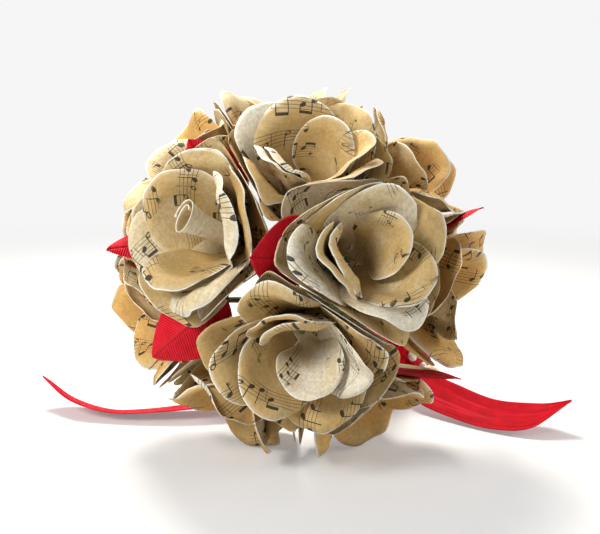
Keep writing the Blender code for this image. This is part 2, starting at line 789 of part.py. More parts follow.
def knot_centre():
    """The knot is sunk a little into the band, on the side that faces the viewer."""
    band = wrap_outer_radius() + CLEARANCE + SATIN
    return on_handle(BOW_DEPTH, BOW_OUT, band + KNOT_SIZE[2] / 2 - KNOT_SINK)


def make_knot():
    """The knot, a squarish lump of satin."""
    mesh = bpy.data.meshes.new("knot")
    bm = bmesh.new()
    bmesh.ops.create_uvsphere(bm, u_segments=KNOT_GRID[0], v_segments=KNOT_GRID[1], radius=1.0)
    for vertex in bm.verts:
        spot = np.array(vertex.co)
        squared = np.sign(spot) * np.abs(spot) ** KNOT_SQUARENESS
        vertex.co = Vector(squared * np.array(KNOT_SIZE) / 2 * MM)
    bm.to_mesh(mesh)
    bm.free()
    knot = placed(make_object("knot", mesh, RIBBON_RED, 0.35), knot_centre(), BOW_OUT, HANDLE_AXIS)
    use_cutter(knot, make_pin_hole("knot_pin_hole", BOW_DEPTH, knot_top(), KNOT_PIN))
    return knot


def make_loop(name, way):
    """One loop of the bow: out along its front, round its end and back, gathered at the knot."""
    turn = math.radians(LOOP_TURN)
    out = way * (math.cos(turn) * np.cross(HANDLE_AXIS, BOW_OUT) - math.sin(turn) * HANDLE_AXIS)
    aside, rise = across(out, UP)
    stations = []
    for angle in np.linspace(0.0, math.pi, LOOP_STATIONS):
        swell = math.sin(angle)
        reach = 1.0 + LOOP_REACH * swell**0.8
        offset = LOOP_MOUTH * math.cos(angle) + LOOP_FULLNESS / 2 * math.sin(2 * angle)
        half = RIBBON_WIDTH / 2 * (LOOP_GATHER + (1.0 - LOOP_GATHER) * smooth(LOOP_OPENING * swell))
        stations.append((knot_centre() + out * reach + aside * offset, half, rise))
    return make_strip(name, stations, *LOOP_GRID)


def make_tail(name, stations, spread):
    """One tail of the ribbon, from inside the knot down to the table and up to its pointed tip."""
    first = (knot_centre() + HANDLE_AXIS * spread, TAIL_ROOT, stations[0][2])
    laid = [(HEAD_FOOT + np.array(place), half, way) for place, half, way in stations]
    return make_strip(name, [first, *laid], *TAIL_GRID)


def make_ribbon_tie():
    """The satin ribbon tied round the handle in a bow, with two long tails: one body."""
    inner = wrap_outer_radius() + CLEARANCE / math.cos(math.pi / HANDLE_SIDES)
    outer = inner + SATIN
    half = RIBBON_WIDTH / 2
    profile = [(inner, half), (outer, half), (outer, -half), (inner, -half)]
    band = turned("ribbon_tie", profile, HANDLE_SIDES, RIBBON_RED, 0.35, closed=True)
    placed(band, on_handle(BOW_DEPTH), -HANDLE_AXIS, UP)
    pieces = [
        make_knot(),
        make_loop("loop_left", 1.0),
        make_loop("loop_right", -1.0),
        make_tail("tail_left", LEFT_TAIL, TAIL_SPREAD),
        make_tail("tail_right", RIGHT_TAIL, -TAIL_SPREAD),
    ]
    mid = (inner + outer) / 2
    profile = [(0.0, RIBBON_WIDTH), (mid, RIBBON_WIDTH), (mid, -RIBBON_WIDTH), (0.0, -RIBBON_WIDTH)]
    bore = turned("handle_bore", profile, HANDLE_SIDES, RIBBON_RED, 0.35)
    placed(bore, on_handle(BOW_DEPTH), -HANDLE_AXIS, UP)
    for piece in pieces:
        use_cutter(piece, bore)
    join_ribbon(band, pieces)
    return band


def knot_top():
    """How far the knot's outer face is from the handle's axis."""
    return (knot_centre() - on_handle(BOW_DEPTH)) @ BOW_OUT + KNOT_SIZE[2] / 2


def clear_scene():
    for item in list(bpy.data.objects):
        bpy.data.objects.remove(item, do_unlink=True)


clear_scene()
BOUQUET = bpy.data.collections.new("paper_flower_bouquet")
CUTTERS = bpy.data.collections.new("cutters_and_guides")
RIBBON_PIECES = bpy.data.collections.new("ribbon_pieces")
for collection in (BOUQUET, CUTTERS, RIBBON_PIECES):
    bpy.context.scene.collection.children.link(collection)

for rose in ROSES:
    for blossom, height in zip(rose.blossoms, stack_heights(rose.blossoms)):
        make_blossom(rose, blossom, height)

core = order_round_handle(ROSES[:CORE_STEMS])
ring = order_round_handle(ROSES[CORE_STEMS:])
for index, rose in enumerate(core + ring):
    make_stem(rose, index)

for leaf in LEAVES:
    make_leaf(leaf)

for rose in ROSES:
    if rose.blossoms is ROLLED:
        make_roll(rose)

make_handle_wrap()
make_ribbon_tie()
make_pin("pearl_pin_1", BOW_DEPTH, knot_top(), KNOT_PIN)
make_pin("pearl_pin_2", BOW_DEPTH + PIN_PITCH, wrap_outer_radius(), HANDLE_WALL)
make_pin("pearl_pin_3", BOW_DEPTH + 2 * PIN_PITCH, wrap_outer_radius(), HANDLE_WALL)
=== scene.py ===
"""The looks of a paper rose bouquet that lies on a pale table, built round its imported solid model."""

import math
import random
from dataclasses import dataclass
from functools import cached_property

import bpy
import numpy as np
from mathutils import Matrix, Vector


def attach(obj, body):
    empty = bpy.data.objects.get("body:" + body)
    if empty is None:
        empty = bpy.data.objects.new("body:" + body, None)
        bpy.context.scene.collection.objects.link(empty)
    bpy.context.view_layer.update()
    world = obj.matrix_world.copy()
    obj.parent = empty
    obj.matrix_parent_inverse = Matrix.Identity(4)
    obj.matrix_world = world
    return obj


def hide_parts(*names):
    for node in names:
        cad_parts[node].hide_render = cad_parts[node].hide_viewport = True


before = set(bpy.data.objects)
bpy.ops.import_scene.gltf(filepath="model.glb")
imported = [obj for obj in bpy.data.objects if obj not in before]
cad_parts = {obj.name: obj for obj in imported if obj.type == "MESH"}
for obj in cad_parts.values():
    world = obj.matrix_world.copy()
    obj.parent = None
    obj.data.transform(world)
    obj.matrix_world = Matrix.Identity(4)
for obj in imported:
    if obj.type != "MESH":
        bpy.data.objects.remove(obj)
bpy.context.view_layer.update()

# The table, the light and the camera. The bouquet lies on a pale table that fades into a white backdrop.
# One soft light hangs above and behind the flowers, so that the top petals glow, one stands to the
# left in front and a weak one to the right, and the world fills the rest.
MM = 0.001
UP = np.array([0.0, 0.0, 1.0])
HEAD = np.array([1.7, -5.7, 88.0])
VIEW_HEIGHT = 90.0
VIEW_DISTANCE = 500.0
VIEW_LIFT = 12.0
VIEW_NEAR = 0.01
LENS = 60.0
TABLE_REACH = 30000.0
TABLE_WHITE = 0.72
TABLE_MOTTLE = 0.985
TABLE_GLOW = 0.22
FADE_FROM = 0.3
FADE_TO = 0.75
BACKDROP_WHITE = 0.92
SKY_LIGHT = (0.17, 0.18, 0.19, 1.0)


def srgb(red, green, blue):
    """A linear colour with alpha from 8-bit screen values."""
    share = np.array([red, green, blue]) / 255.0
    linear = np.where(share <= 0.04045, share / 12.92, ((share + 0.055) / 1.055) ** 2.4)
    return (*(float(channel) for channel in linear), 1.0)


def grid_faces(rows, columns, first=0, wrap=False):
    """Corner indices of a grid's quads, row by row; a wrapped grid joins its last column to its first."""
    index = np.arange(rows * columns).reshape(rows, columns) + first
    right = np.roll(index, -1, axis=1) if wrap else index[:, 1:]
    left = index if wrap else index[:, :-1]
    return np.stack([left[:-1], right[:-1], right[1:], left[1:]], axis=-1).reshape(-1, 4)


def stacked(*grids):
    """Grids of numbers as one grid of pairs or points."""
    return np.stack(np.broadcast_arrays(*grids), axis=-1)


def add_object(name, data):
    """An object in the scene, with that mesh, light or camera."""
    item = bpy.data.objects.new(name, data)
    bpy.context.scene.collection.objects.link(item)
    return item


def mesh_object(name, points, faces, uv=None, floats=None):
    """A smooth mesh of points in millimetres; uv and floats hold a value for each point."""
    mesh = bpy.data.meshes.new(name)
    mesh.from_pydata((points.reshape(-1, 3) * MM).tolist(), [], faces.tolist())
    corners = np.empty(len(mesh.loops), dtype=np.int32)
    mesh.loops.foreach_get("vertex_index", corners)
    if uv is not None:
        mesh.uv_layers.new(name="sheet").data.foreach_set("uv", uv.reshape(-1, 2)[corners].ravel())
    for key, values in (floats or {}).items():
        mesh.attributes.new(key, "FLOAT", "POINT").data.foreach_set("value", np.ravel(values))
    mesh.shade_smooth()
    return add_object(name, mesh)


def math_node(operation):
    """A method that adds a Math node, with the wire as its first number."""
    return lambda wire, *others: wire.nodes.math(operation, wire, *others)


class Wire:
    """A value in a node tree. Plain arithmetic and comparisons with it add Math nodes."""

    __add__ = math_node("ADD")
    __sub__ = math_node("SUBTRACT")
    __mul__ = math_node("MULTIPLY")
    __truediv__ = math_node("DIVIDE")
    __pow__ = math_node("POWER")
    __lt__ = math_node("LESS_THAN")
    __gt__ = math_node("GREATER_THAN")
    __abs__ = math_node("ABSOLUTE")

    def __init__(self, nodes, socket):
        self.nodes, self.socket = nodes, socket

    def __rsub__(self, other):
        return self.nodes.math("SUBTRACT", other, self)

    def __floordiv__(self, other):
        return self.nodes.math("FLOOR", self / other)


class Nodes:
    """Adds nodes to a tree. An input is fed a wire, or a plain value that stays on its socket."""

    def __init__(self, tree):
        self.tree = tree

    def feed(self, sockets, values):
        """Links each wire to its socket, and sets each plain value on its own."""
        for key, value in values.items():
            if isinstance(value, Wire):
                self.tree.links.new(value.socket, sockets[key])
            else:
                sockets[key].default_value = value

    def add(self, kind, inputs=None, **settings):
        """Adds a node with those settings, and feeds its inputs."""
        node = self.tree.nodes.new(kind)
        for key, value in settings.items():
            setattr(node, key, value)
        self.feed(node.inputs, inputs or {})
        return node

    def read(self, kind, output=0, inputs=None, **settings):
        """Adds a node, and gives one of its outputs."""
        return Wire(self, self.add(kind, inputs, **settings).outputs[output])

    def math(self, operation, *values):
        """What a Math node makes of one or two numbers."""
        return self.read("ShaderNodeMath", 0, dict(enumerate(values)), operation=operation)

    def split(self, value, kind="XYZ"):
        """The three numbers of a vector, or of a colour with the kind Color."""
        node = self.add(f"ShaderNodeSeparate{kind}", {0: value})
        return [Wire(self, output) for output in node.outputs]

    def join(self, *numbers):
        """The vector of two or three numbers."""
        return self.read("ShaderNodeCombineXYZ", 0, dict(enumerate(numbers)))

    def step(self, value, low, high):
        """Runs smoothly from 0 at low to 1 at high."""
        inputs = {"Value": value, "From Min": low, "From Max": high}
        return self.read("ShaderNodeMapRange", 0, inputs, interpolation_type="SMOOTHSTEP")

    def wave(self, value, pitch):
        """A sine of the value, with that pitch."""
        return self.math("SINE", value * (math.tau / pitch))

    def noise(self, vector, scale, detail=4.0, roughness=0.5):
        """Cloudy noise from 0 to 1. The larger the scale, the smaller the clouds."""
        inputs = {"Vector": vector, "Scale": scale, "Detail": detail, "Roughness": roughness}
        return self.read("ShaderNodeTexNoise", "Fac", inputs)

    def mix(self, factor, first, second):
        """Runs from the first colour, where the factor is 0, to the second, where it is 1."""
        return self.read("ShaderNodeMix", 2, {0: factor, 6: first, 7: second}, data_type="RGBA")

    def glaze(self, colour, *layers):
        """Lays tints over a colour in turn, each where its mask is 1, at its own strength."""
        for mask, strength, tint in layers:
            colour = self.mix(mask * strength, colour, srgb(*tint))
        return colour

    def bump(self, height, distance, strength):
        """The normal of a relief in which a height of 1 stands that many metres out."""
        inputs = {"Height": height, "Distance": distance, "Strength": strength}
        return self.read("ShaderNodeBump", 0, inputs)

    def attribute(self, name):
        """One of the values that the mesh holds for each point."""
        return self.read("ShaderNodeAttribute", "Fac", attribute_name=name)

    def place(self, group, inputs):
        """Places a node group, and gives its outputs by name."""
        node = self.add("ShaderNodeGroup", inputs, node_tree=group)
        return {output.name: Wire(self, output) for output in node.outputs}


def new_material(name):
    """A material, and the nodes that will feed its shader."""
    material = bpy.data.materials.new(name)
    material.use_nodes = True
    return material, Nodes(material.node_tree)


def shade(material, nodes, inputs):
    """Feeds a material's shader, and gives the material."""
    nodes.feed(material.node_tree.nodes["Principled BSDF"].inputs, inputs)
    return material


def grey(value):
    """A grey of that linear brightness, with alpha."""
    return (value, value, value, 1.0)


def make_table():
    """A flat sheet from edge to edge. Its material passes from lit white into the backdrop's own
    plain white as the distance from the bouquet grows."""
    x, y = np.meshgrid([-TABLE_REACH, TABLE_REACH], [-TABLE_REACH, TABLE_REACH])
    table = mesh_object("table", stacked(x, y, 0.0), grid_faces(2, 2))
    material, n = new_material("pale_table")
    place = n.read("ShaderNodeTexCoord", "Object")
    white = n.mix(n.noise(place, 6.0, 3.0), grey(TABLE_WHITE * TABLE_MOTTLE), grey(TABLE_WHITE))
    seen = n.read("ShaderNodeLightPath", "Is Camera Ray")
    away = n.read("ShaderNodeVectorMath", "Value", {0: place}, operation="LENGTH")
    far = seen * n.step(away, FADE_FROM, FADE_TO)
    shade(material, n, {
        "Base Color": n.mix(far, white, grey(0.0)),
        "Roughness": 0.7,
        "Specular IOR Level": 0.0,
        "Emission Color": grey(1.0),
        "Emission Strength": far * BACKDROP_WHITE + (seen - far) * TABLE_GLOW,
    })
    table.data.materials.append(material)


def make_world():
    """Pale blue sky light for the object, and the backdrop's plain white for the camera."""
    world = bpy.data.worlds.new("studio")
    world.use_nodes = True
    n = Nodes(world.node_tree)
    seen = n.read("ShaderNodeLightPath", "Is Camera Ray")
    sky = n.mix(seen, SKY_LIGHT, grey(BACKDROP_WHITE))
    n.feed(world.node_tree.nodes["Background"].inputs, {"Color": sky})
    bpy.context.scene.world = world


def add_area_light(name, place, aim, size, power, colour):
    """A square soft light at a place in millimetres, aimed at another."""
    lamp = bpy.data.lights.new(name, "AREA")
    lamp.size = size * MM
    lamp.energy = power
    lamp.color = colour
    item = add_object(name, lamp)
    item.location = Vector(place) * MM
    item.rotation_euler = (Vector(aim) - Vector(place)).to_track_quat("-Z", "Y").to_euler()


def add_camera():
    """A camera in front of the ball and a little above it, which looks at the ball's middle."""
    lift = math.radians(VIEW_LIFT)
    target = Vector((HEAD[0], HEAD[1], VIEW_HEIGHT))
    back = Vector((0.0, -math.cos(lift), math.sin(lift)))
    camera = add_object("camera", bpy.data.cameras.new("camera"))
    camera.data.lens = LENS
    camera.data.clip_start = VIEW_NEAR
    camera.location = (target + back * VIEW_DISTANCE) * MM
    camera.rotation_euler = (-back).to_track_quat("-Z", "Y").to_euler()
    bpy.context.scene.camera = camera


make_table()
add_camera()
add_area_light("top_light", (-120, 260, 620), (0, 0, 90), 260, 6.2, (1.0, 0.96, 0.88))
add_area_light("front_light", (-460, -520, 520), (0, 0, 80), 260, 4.9, (1.0, 0.99, 0.97))
add_area_light("side_light", (620, -60, 260), (0, 0, 80), 300, 1.5, (1.0, 0.98, 0.95))
make_world()
bpy.context.scene.view_settings.view_transform = "Standard"

# The roses. Each is a stack of blossoms that are die-cut from old sheet music, threaded on a wire
# stem and curled by hand: every petal is cupped along its length, flared at its tip, and leans out
# as far as the next roses, the leaves and the table let it.
CLEARANCE = 0.3
CARD = 0.35
LEAF_CARD = 0.5
PAPER = 0.22
SEAT_RADIUS = 53.0
SEED = 12
OPEN_MOOD = 0.012
MERIDIAN_STEPS = 40
CURL_RANGE = (0.2, 1.0)
PETAL_LENGTH = 52.0
PETAL_HALF_WIDTH = 22.0
PETAL_BLUNT = 2.3
PETAL_SHOULDER = 0.5
COLLAR_RADIUS = 4.2
COLLAR_BEND = 6.0
COLLAR_PITCH = 1.2
STEM_RADIUS = 1.5
FLARE_START = 0.66
FLARE_EASE = 1.5
CURL_START = 0.4
WIDEST_LEAN = 78.0
LIMIT_STEP = 5.0
LIMIT_BLUR = 2
TIP_YIELD = 0.8
LAYER_STEP = 0.75
ROSE_PRESS = 4.0
LEAF_PRESS = 1.2
LEAF_MARGIN = 8.0
LEAF_SLACK = 0.55
FOLD_ROUND = 1.0
PARTING_LENGTH = 0.7
PARTING_FADE = 0.6
LEAF_HALF_WIDTH = 18.0
TABLE_PRESS = 2.0
RIPPLE = 0.035
LONG_WAVES = (5, 6, 7)
SHORT_WAVES = 13
SHORT_SHARE = 0.5
WAVE_RISE = 4
LIP_WIDTH = 8.0
LIP_DEPTH = 5.5
LIP_RANGE = (0.3, 1.0)
LIP_LEAN = 0.8
EYE_HEIGHT = 60.0
PAGE = 900.0
TONE_TURN = 0.5
TURNED_SHARE = 0.3
PETAL_GRID = 24
RING_GRID = 18
ROW_EASE = 0.9


def direction(turn, lift):
    """The unit vector turned from -Y towards +X, and lifted above the table."""
    t, v = math.radians(turn), math.radians(lift)
    return np.array([math.sin(t) * math.cos(v), -math.cos(t) * math.cos(v), math.sin(v)])


def unit(vector):
    """The vector, or each of a grid of them, divided by its length."""
    return vector / np.linalg.norm(vector, axis=-1, keepdims=True)


def across(axis, guide):
    """Two unit vectors at right angles to the axis, the second on the guide's side."""
    side = unit(np.cross(guide, axis))
    return side, np.cross(axis, side)


def round_axis(turn, side, top):
    """Unit vectors at those turns round an axis, from its side towards its top."""
    return np.multiply.outer(np.cos(turn), side) + np.multiply.outer(np.sin(turn), top)


def full_turn(count):
    """That many turns in radians, spread evenly over a circle."""
    return np.linspace(0.0, math.tau, count, endpoint=False)


def reached(amounts, ways):
    """The sum of the ways, each as far as its amount says."""
    return sum(np.multiply.outer(amount, way) for amount, way in zip(amounts, ways))


def smooth(t):
    """Runs from 0 to 1 as t does, level at both ends."""
    t = np.clip(t, 0.0, 1.0)
    return t * t * (3.0 - 2.0 * t)


@dataclass(frozen=True)
class Blossom:
    """One die-cut blossom. Each petal opens from 0, on the axis, to 1, as far as there is room. It
    bends round the rose where flat is 0, and stays flat across its width where flat is 1."""

    name: str
    opens: tuple
    reach: float
    cup: float
    flare: float
    side_curl: float
    spiral: float
    flat: float


@dataclass(frozen=True)
class Rose:
    """One rose: the directions of its seat on the ball and of its face, and its spin on its stem."""

    name: str
    seat: tuple
    face: tuple
    spin: float
    blossoms: tuple

    @property
    def axis(self):
        """The way that the rose faces."""
        return direction(*self.face)

    @property
    def base(self):
        """The point of the ball where the blossoms' collars are threaded."""
        return HEAD + SEAT_RADIUS * direction(*self.seat)

    @cached_property
    def limits(self):
        """Bearings round the rose, and how far a petal can lean at each."""
        return lean_limits(self)


@dataclass(frozen=True)
class Leaf:
    """One folded leaf, from its root to its tip: each is a direction from the head and how far out
    it is from the seats, as a share of a petal's length. Its width is a share of the broadest's."""

    name: str
    root: tuple
    tip: tuple
    faces: tuple
    width_share: float
    fold: float
    arch: float

    @property
    def half_width(self):
        """Half the blade's width where it is broadest, in millimetres."""
        return self.width_share * LEAF_HALF_WIDTH


OUTER = Blossom("outer", (0.98, 0.92, 1.0, 0.95, 0.9), 1.05, 14, 36, 0.05, 0.05, 0.6)
MIDDLE = Blossom("middle", (0.685, 0.65, 0.7, 0.66), 0.98, 14, 34, 0.05, 0.04, 0.3)
INNER = Blossom("inner", (0.44, 0.48, 0.46), 0.92, 14, 28, 0.04, 0.035, 0.1)
HEART = Blossom("heart", (0.24, 0.21), 0.76, 13, 20, 0.03, 0.03, 0.0)
RING_OUTER = Blossom("outer", (0.92, 0.98, 0.9, 0.96, 0.93), 1.0, 14, 36, 0.05, 0.05, 0.6)
RING_INNER = Blossom("inner", (0.6, 0.56, 0.62), 0.97, 14, 34, 0.05, 0.04, 0.3)
RING_HEART = Blossom("heart", (0.3, 0.27), 0.8, 13, 22, 0.03, 0.03, 0.0)
RING_BUD = Blossom("bud", (0.52, 0.48, 0.55, 0.5, 0.46), 0.9, 13, 30, 0.04, 0.05, 0.3)
FRONT = (OUTER, MIDDLE, INNER, HEART)
ROLLED = (OUTER, MIDDLE, INNER)
RING = (RING_OUTER, RING_INNER, RING_HEART)
BACK = (RING_OUTER, RING_BUD)
# Tone ranges of each blossom set: tone differs at random within a range, and the ring roses' high range
# also turns them golden, a painted backlit glow.
TONES_AND_BACKLIT_GLOW = {FRONT: (0.0, 0.28), ROLLED: (0.0, 0.22), RING: (0.36, 0.49), BACK: (0.1, 0.42)}
ROSES = (
    Rose("rose_left", (-40, 25), (-44, 26), 29, ROLLED),
    Rose("rose_top", (5, 52), (4, 54), 225, FRONT),
    Rose("rose_right", (23, 16), (22, 24), 197, FRONT),
    Rose("rose_low", (1, -16), (0, -12), 112, FRONT),
    Rose("rose_upper_left", (-79, 44), (-65, 45), 20, RING),
    Rose("rose_crown", (-98, 83), (-15, 74), 45, RING),
    Rose("rose_upper_right", (74, 44), (60, 44), 5, RING),
    Rose("rose_far_right", (71, -3), (60, 0), 30, RING),
    Rose("rose_lower_left", (-76, -15), (-64, -12), 66, RING),
    Rose("rose_base_left", (-49, -53), (-42, -46), 50, BACK),
    Rose("rose_base_right", (45, -53), (38, -46), 12, BACK),
    Rose("rose_far_left", (-102, 11), (-92, 12), 33, BACK),
)
LEAVES = (
    Leaf("leaf_centre", (8.3, 18.7, 0.1077), (-14, 15.5, 0.6731), (-15, 3), 1.0, 14, 3),
    Leaf("leaf_lower_left", (-28.9, 0.9, 0.2885), (-48.7, -17.2, 0.7596), (-52, -26), 0.89, 28, 4),
    Leaf("leaf_top_left", (-40.8, 44.1, 0.1019), (-49.2, 46.5, 0.8115), (-33, 36), 0.67, 10, 2),
    Leaf("leaf_far_left", (-78.9, 18.9, 0.0885), (-71.7, 10, 0.8423), (-36, 26), 0.56, 8, 0),
    Leaf("leaf_right", (85.2, 19.9, 0.1538), (69, 22.4, 0.8635), (41, 34), 0.56, 8, 0),
    Leaf("leaf_low_right", (48.8, -37.6, 0.2404), (54.9, -23.5, 0.8712), (180, 82), 0.56, 0, 0),
)


def outline_half_width(x):
    """Half the width of a flat petal, x from the blossom's middle: a flank, then a round end."""
    widest = PETAL_LENGTH - PETAL_HALF_WIDTH
    root = COLLAR_RADIUS * math.tan(math.pi / 6)
    rise = np.sin(0.5 * math.pi * np.clip((x - COLLAR_RADIUS) / (widest - COLLAR_RADIUS), 0, 1))
    flank = root + (PETAL_HALF_WIDTH - root) * rise
    past = np.clip((x - widest) / PETAL_HALF_WIDTH, 0, 1)
    end = PETAL_HALF_WIDTH * (1.0 - past**PETAL_BLUNT) ** (1.0 / PETAL_BLUNT)
    return np.where(x < widest, flank, end)


def flat_petal(v, s):
    """The point of the flat petal at v from collar to tip, and s from edge to edge."""
    shoulder = PETAL_LENGTH - PETAL_SHOULDER * PETAL_HALF_WIDTH
    side_x = COLLAR_RADIUS + (shoulder - COLLAR_RADIUS) * v
    x = side_x + (PETAL_LENGTH - shoulder) * v**2 * (1.0 - np.abs(s) ** PETAL_BLUNT)
    return x, s * outline_half_width(side_x)


def meridian(r, lean, blossom):
    """Radius and height above the collar of points at distance r along petals of that lean: the
    curve's angle starts flat on the collar, bends up to the lean, and cups and flares past it."""
    share = (np.arange(MERIDIAN_STEPS) + 0.5) / MERIDIAN_STEPS
    r, lean = np.broadcast_arrays(r, lean)
    walked = r[..., None] * share
    t = walked / PETAL_LENGTH
    bend = smooth((walked - COLLAR_RADIUS) / COLLAR_BEND)
    tip = smooth((t - FLARE_START) / (1.0 - FLARE_START)) ** FLARE_EASE
    angle = 90.0 + (lean[..., None] + blossom.cup * (1.0 - 2.0 * t) - 90.0) * bend + blossom.flare * tip
    angle = np.radians(angle)
    return r * np.sin(angle).mean(axis=-1), r * np.cos(angle).mean(axis=-1)


def spoke_at(rose, bearing):
    """Unit vectors across the rose's axis, along those bearings in degrees."""
    return round_axis(np.radians(bearing), *across(rose.axis, UP))


def layer_gap(level):
    """How far a blossom keeps from what presses on its rose: each level a card behind the last."""
    return LEAF_CARD / 2 + CARD / 2 + CLEARANCE + LAYER_STEP * level


def ways_to_neighbours(rose):
    """The unit vector from the rose's seat towards each other rose's. The plane halfway between
    the two seats passes through the head, square to it."""
    seats = [direction(*other.seat) for other in ROSES if other.name != rose.name]
    return unit(np.array(seats) - direction(*rose.seat))


def lean_limits(rose):
    """How far petals can lean, in degrees, at each bearing, before they meet the next roses: the
    lean at which a petal's tip comes to the plane halfway to each neighbour, then smoothed."""
    bearings = np.arange(0.0, 360.0, LIMIT_STEP)
    spoke = spoke_at(rose, bearings)
    limit = np.full(bearings.shape, WIDEST_LEAN)
    for way in ways_to_neighbours(rose):
        distance = -layer_gap(0) - (rose.base - HEAD) @ way
        swing = np.hypot(spoke @ way, rose.axis @ way) * PETAL_LENGTH * TIP_YIELD
        towards = np.arctan2(spoke @ way, rose.axis @ way) % math.tau
        meets = np.degrees(towards - np.arccos(np.clip(distance / swing, -1.0, 1.0)))
        limit = np.where(distance < swing, np.minimum(limit, meets), limit)
    steps = range(-LIMIT_BLUR, LIMIT_BLUR + 1)
    tight = np.min([np.roll(limit, step) for step in steps], axis=0)
    return bearings, np.mean([np.roll(tight, step) for step in steps], axis=0)


def petal_points(rose, blossom, height, index, v, s):
    """The petal's surface points before leaves and table press on it: distance out along the
    petal gives radius and height by its meridian, and distance across it gives the bearing. The
    whole blossom's rim waves by two sines of the bearing, so petals that overlap wave together."""
    mood = random.Random(f"{SEED} {rose.name} {blossom.name} {index}")
    open_share = blossom.opens[index] + mood.uniform(-OPEN_MOOD, OPEN_MOOD)
    curl_left, curl_right = mood.uniform(*CURL_RANGE), mood.uniform(*CURL_RANGE)
    whim = random.Random(f"waves {rose.name} {blossom.name}")
    long_phase, short_phase = whim.uniform(0.0, 6.0), whim.uniform(0.0, 6.0)
    long_waves = whim.choice(LONG_WAVES)

    hole = STEM_RADIUS + CLEARANCE + CARD / 2
    on_collar = v <= 0.0
    ring = hole + (COLLAR_RADIUS - hole) * np.minimum(v + 1.0, 1.0)
    x, y = flat_petal(np.maximum(v, 0.0), s)
    r = np.where(on_collar, ring, COLLAR_RADIUS + (x - COLLAR_RADIUS) * blossom.reach)

    edge = np.clip((np.abs(s) - CURL_START) / (1.0 - CURL_START), 0.0, 1.0) ** 2
    curl = blossom.side_curl * edge * np.where(s < 0, curl_left, curl_right)
    grown = smooth((r - COLLAR_RADIUS) / (3 * COLLAR_BEND))
    open_share = open_share + (curl + blossom.spiral * s) * grown

    bearings, limits = rose.limits
    middle = rose.spin + 360.0 / len(blossom.opens) * index
    lean = open_share * np.interp(middle, bearings, limits, period=360.0)
    radius, _ = meridian(r, lean, blossom)
    bow = radius / (1.0 - blossom.flat)
    out = radius - bow + bow * np.cos(y * blossom.reach / bow)
    aside = bow * np.sin(y * blossom.reach / bow)
    stretch = np.where(on_collar, 1.0, np.hypot(aside, out) / radius)
    off = np.where(on_collar, s * 180.0 / len(blossom.opens), np.degrees(np.arctan2(aside, out)))
    turn = np.radians(middle + off)
    wave = SHORT_SHARE * np.sin(SHORT_WAVES * turn + short_phase)
    wave = np.sin(long_waves * turn + long_phase) + wave
    open_share = open_share + RIPPLE * wave * (r / PETAL_LENGTH) ** WAVE_RISE
    lean = open_share * np.interp(middle + off, bearings, limits, period=360.0)
    radius, rise = meridian(r, lean, blossom)
    rise = np.multiply.outer(rise + height, rose.axis)
    return rose.base + (radius * stretch)[..., None] * spoke_at(rose, middle + off) + rise


def pressed(distance, soft, gap):
    """Distances past a face, eased over a soft depth so that none comes nearer to it than the gap."""
    past = distance + gap + soft
    squeezed = -gap - soft * np.exp(-np.maximum(past, 0.0) / soft)
    return np.where(past > 0.0, squeezed, distance)


def leaf_point(place):
    """A leaf's root or tip, from its direction and its distance past the roses' seats."""
    turn, lift, share = place
    return HEAD + (SEAT_RADIUS + share * PETAL_LENGTH) * direction(turn, lift)


def leaf_frame(leaf):
    """A leaf's root, its length, and its unit vectors along, across and out of the blade."""
    root, tip = leaf_point(leaf.root), leaf_point(leaf.tip)
    length = np.linalg.norm(tip - root)
    along = (tip - root) / length
    outward = direction(*leaf.faces)
    outward = unit(outward - along * (outward @ along))
    return root, length, along, np.cross(outward, along), outward


def leaf_height(leaf, length, x, y):
    """How far the blade stands out of its own plane: an arch along it and a fold down its rib."""
    t = x / length
    arch = leaf.arch * 4.0 * t * (1.0 - t)
    return arch - np.sqrt(y * y + FOLD_ROUND**2) * math.tan(math.radians(leaf.fold))


def press_petal(points, rose, level):
    """Presses a petal's points away from the next roses' halfway planes, the leaves and the table."""
    for way in ways_to_neighbours(rose):
        distance = (points - HEAD) @ way
        moved = pressed(distance, ROSE_PRESS, layer_gap(level))
        points = points + np.multiply.outer(moved - distance, way)
    bloom_middle = rose.base + rose.axis * PETAL_LENGTH / 2
    from_base = np.linalg.norm(points - rose.base, axis=-1)
    free = smooth((from_base - 2 * COLLAR_RADIUS) / (2 * COLLAR_BEND))
    for leaf in LEAVES:
        root, length, along, aside, outward = leaf_frame(leaf)
        side = -1.0 if (bloom_middle - root) @ outward > 0.0 else 1.0
        local = points - root
        x, y, z = local @ along, local @ aside, local @ outward
        stand = leaf_height(leaf, length, np.clip(x, 0.0, length), y)
        spot = np.hypot((x / length - 0.5) / PARTING_LENGTH, y / (leaf.half_width + LEAF_MARGIN))
        weight = free * (1.0 - smooth((spot - 1.0) / PARTING_FADE))
        moved = stand + side * pressed(side * (z - stand), LEAF_PRESS, layer_gap(level) + LEAF_SLACK)
        points = points + np.multiply.outer(weight * (moved - z), outward)
    top_level = len(rose.blossoms) - 1 - level
    distance = -points[..., 2]
    lift = distance - pressed(distance, TABLE_PRESS, CARD / 2 + LAYER_STEP * top_level)
    return points + np.multiply.outer(lift, UP)


def petal_rim_distance(v, s):
    """How far a point of the flat petal is from its cut edge, along or across the petal."""
    x, y = flat_petal(np.maximum(v, 0.0), s)
    tip_x, _ = flat_petal(np.ones_like(v), s)
    half = np.abs(y) / np.maximum(np.abs(s), 1e-6)
    return np.where(v < 0.0, LIP_WIDTH, np.minimum((1.0 - np.abs(s)) * half, tip_x - x))


def surface_normals(points):
    """Unit normals of a grid of points, from its slopes along rows and columns."""
    return unit(np.cross(np.gradient(points, axis=1), np.gradient(points, axis=0)))


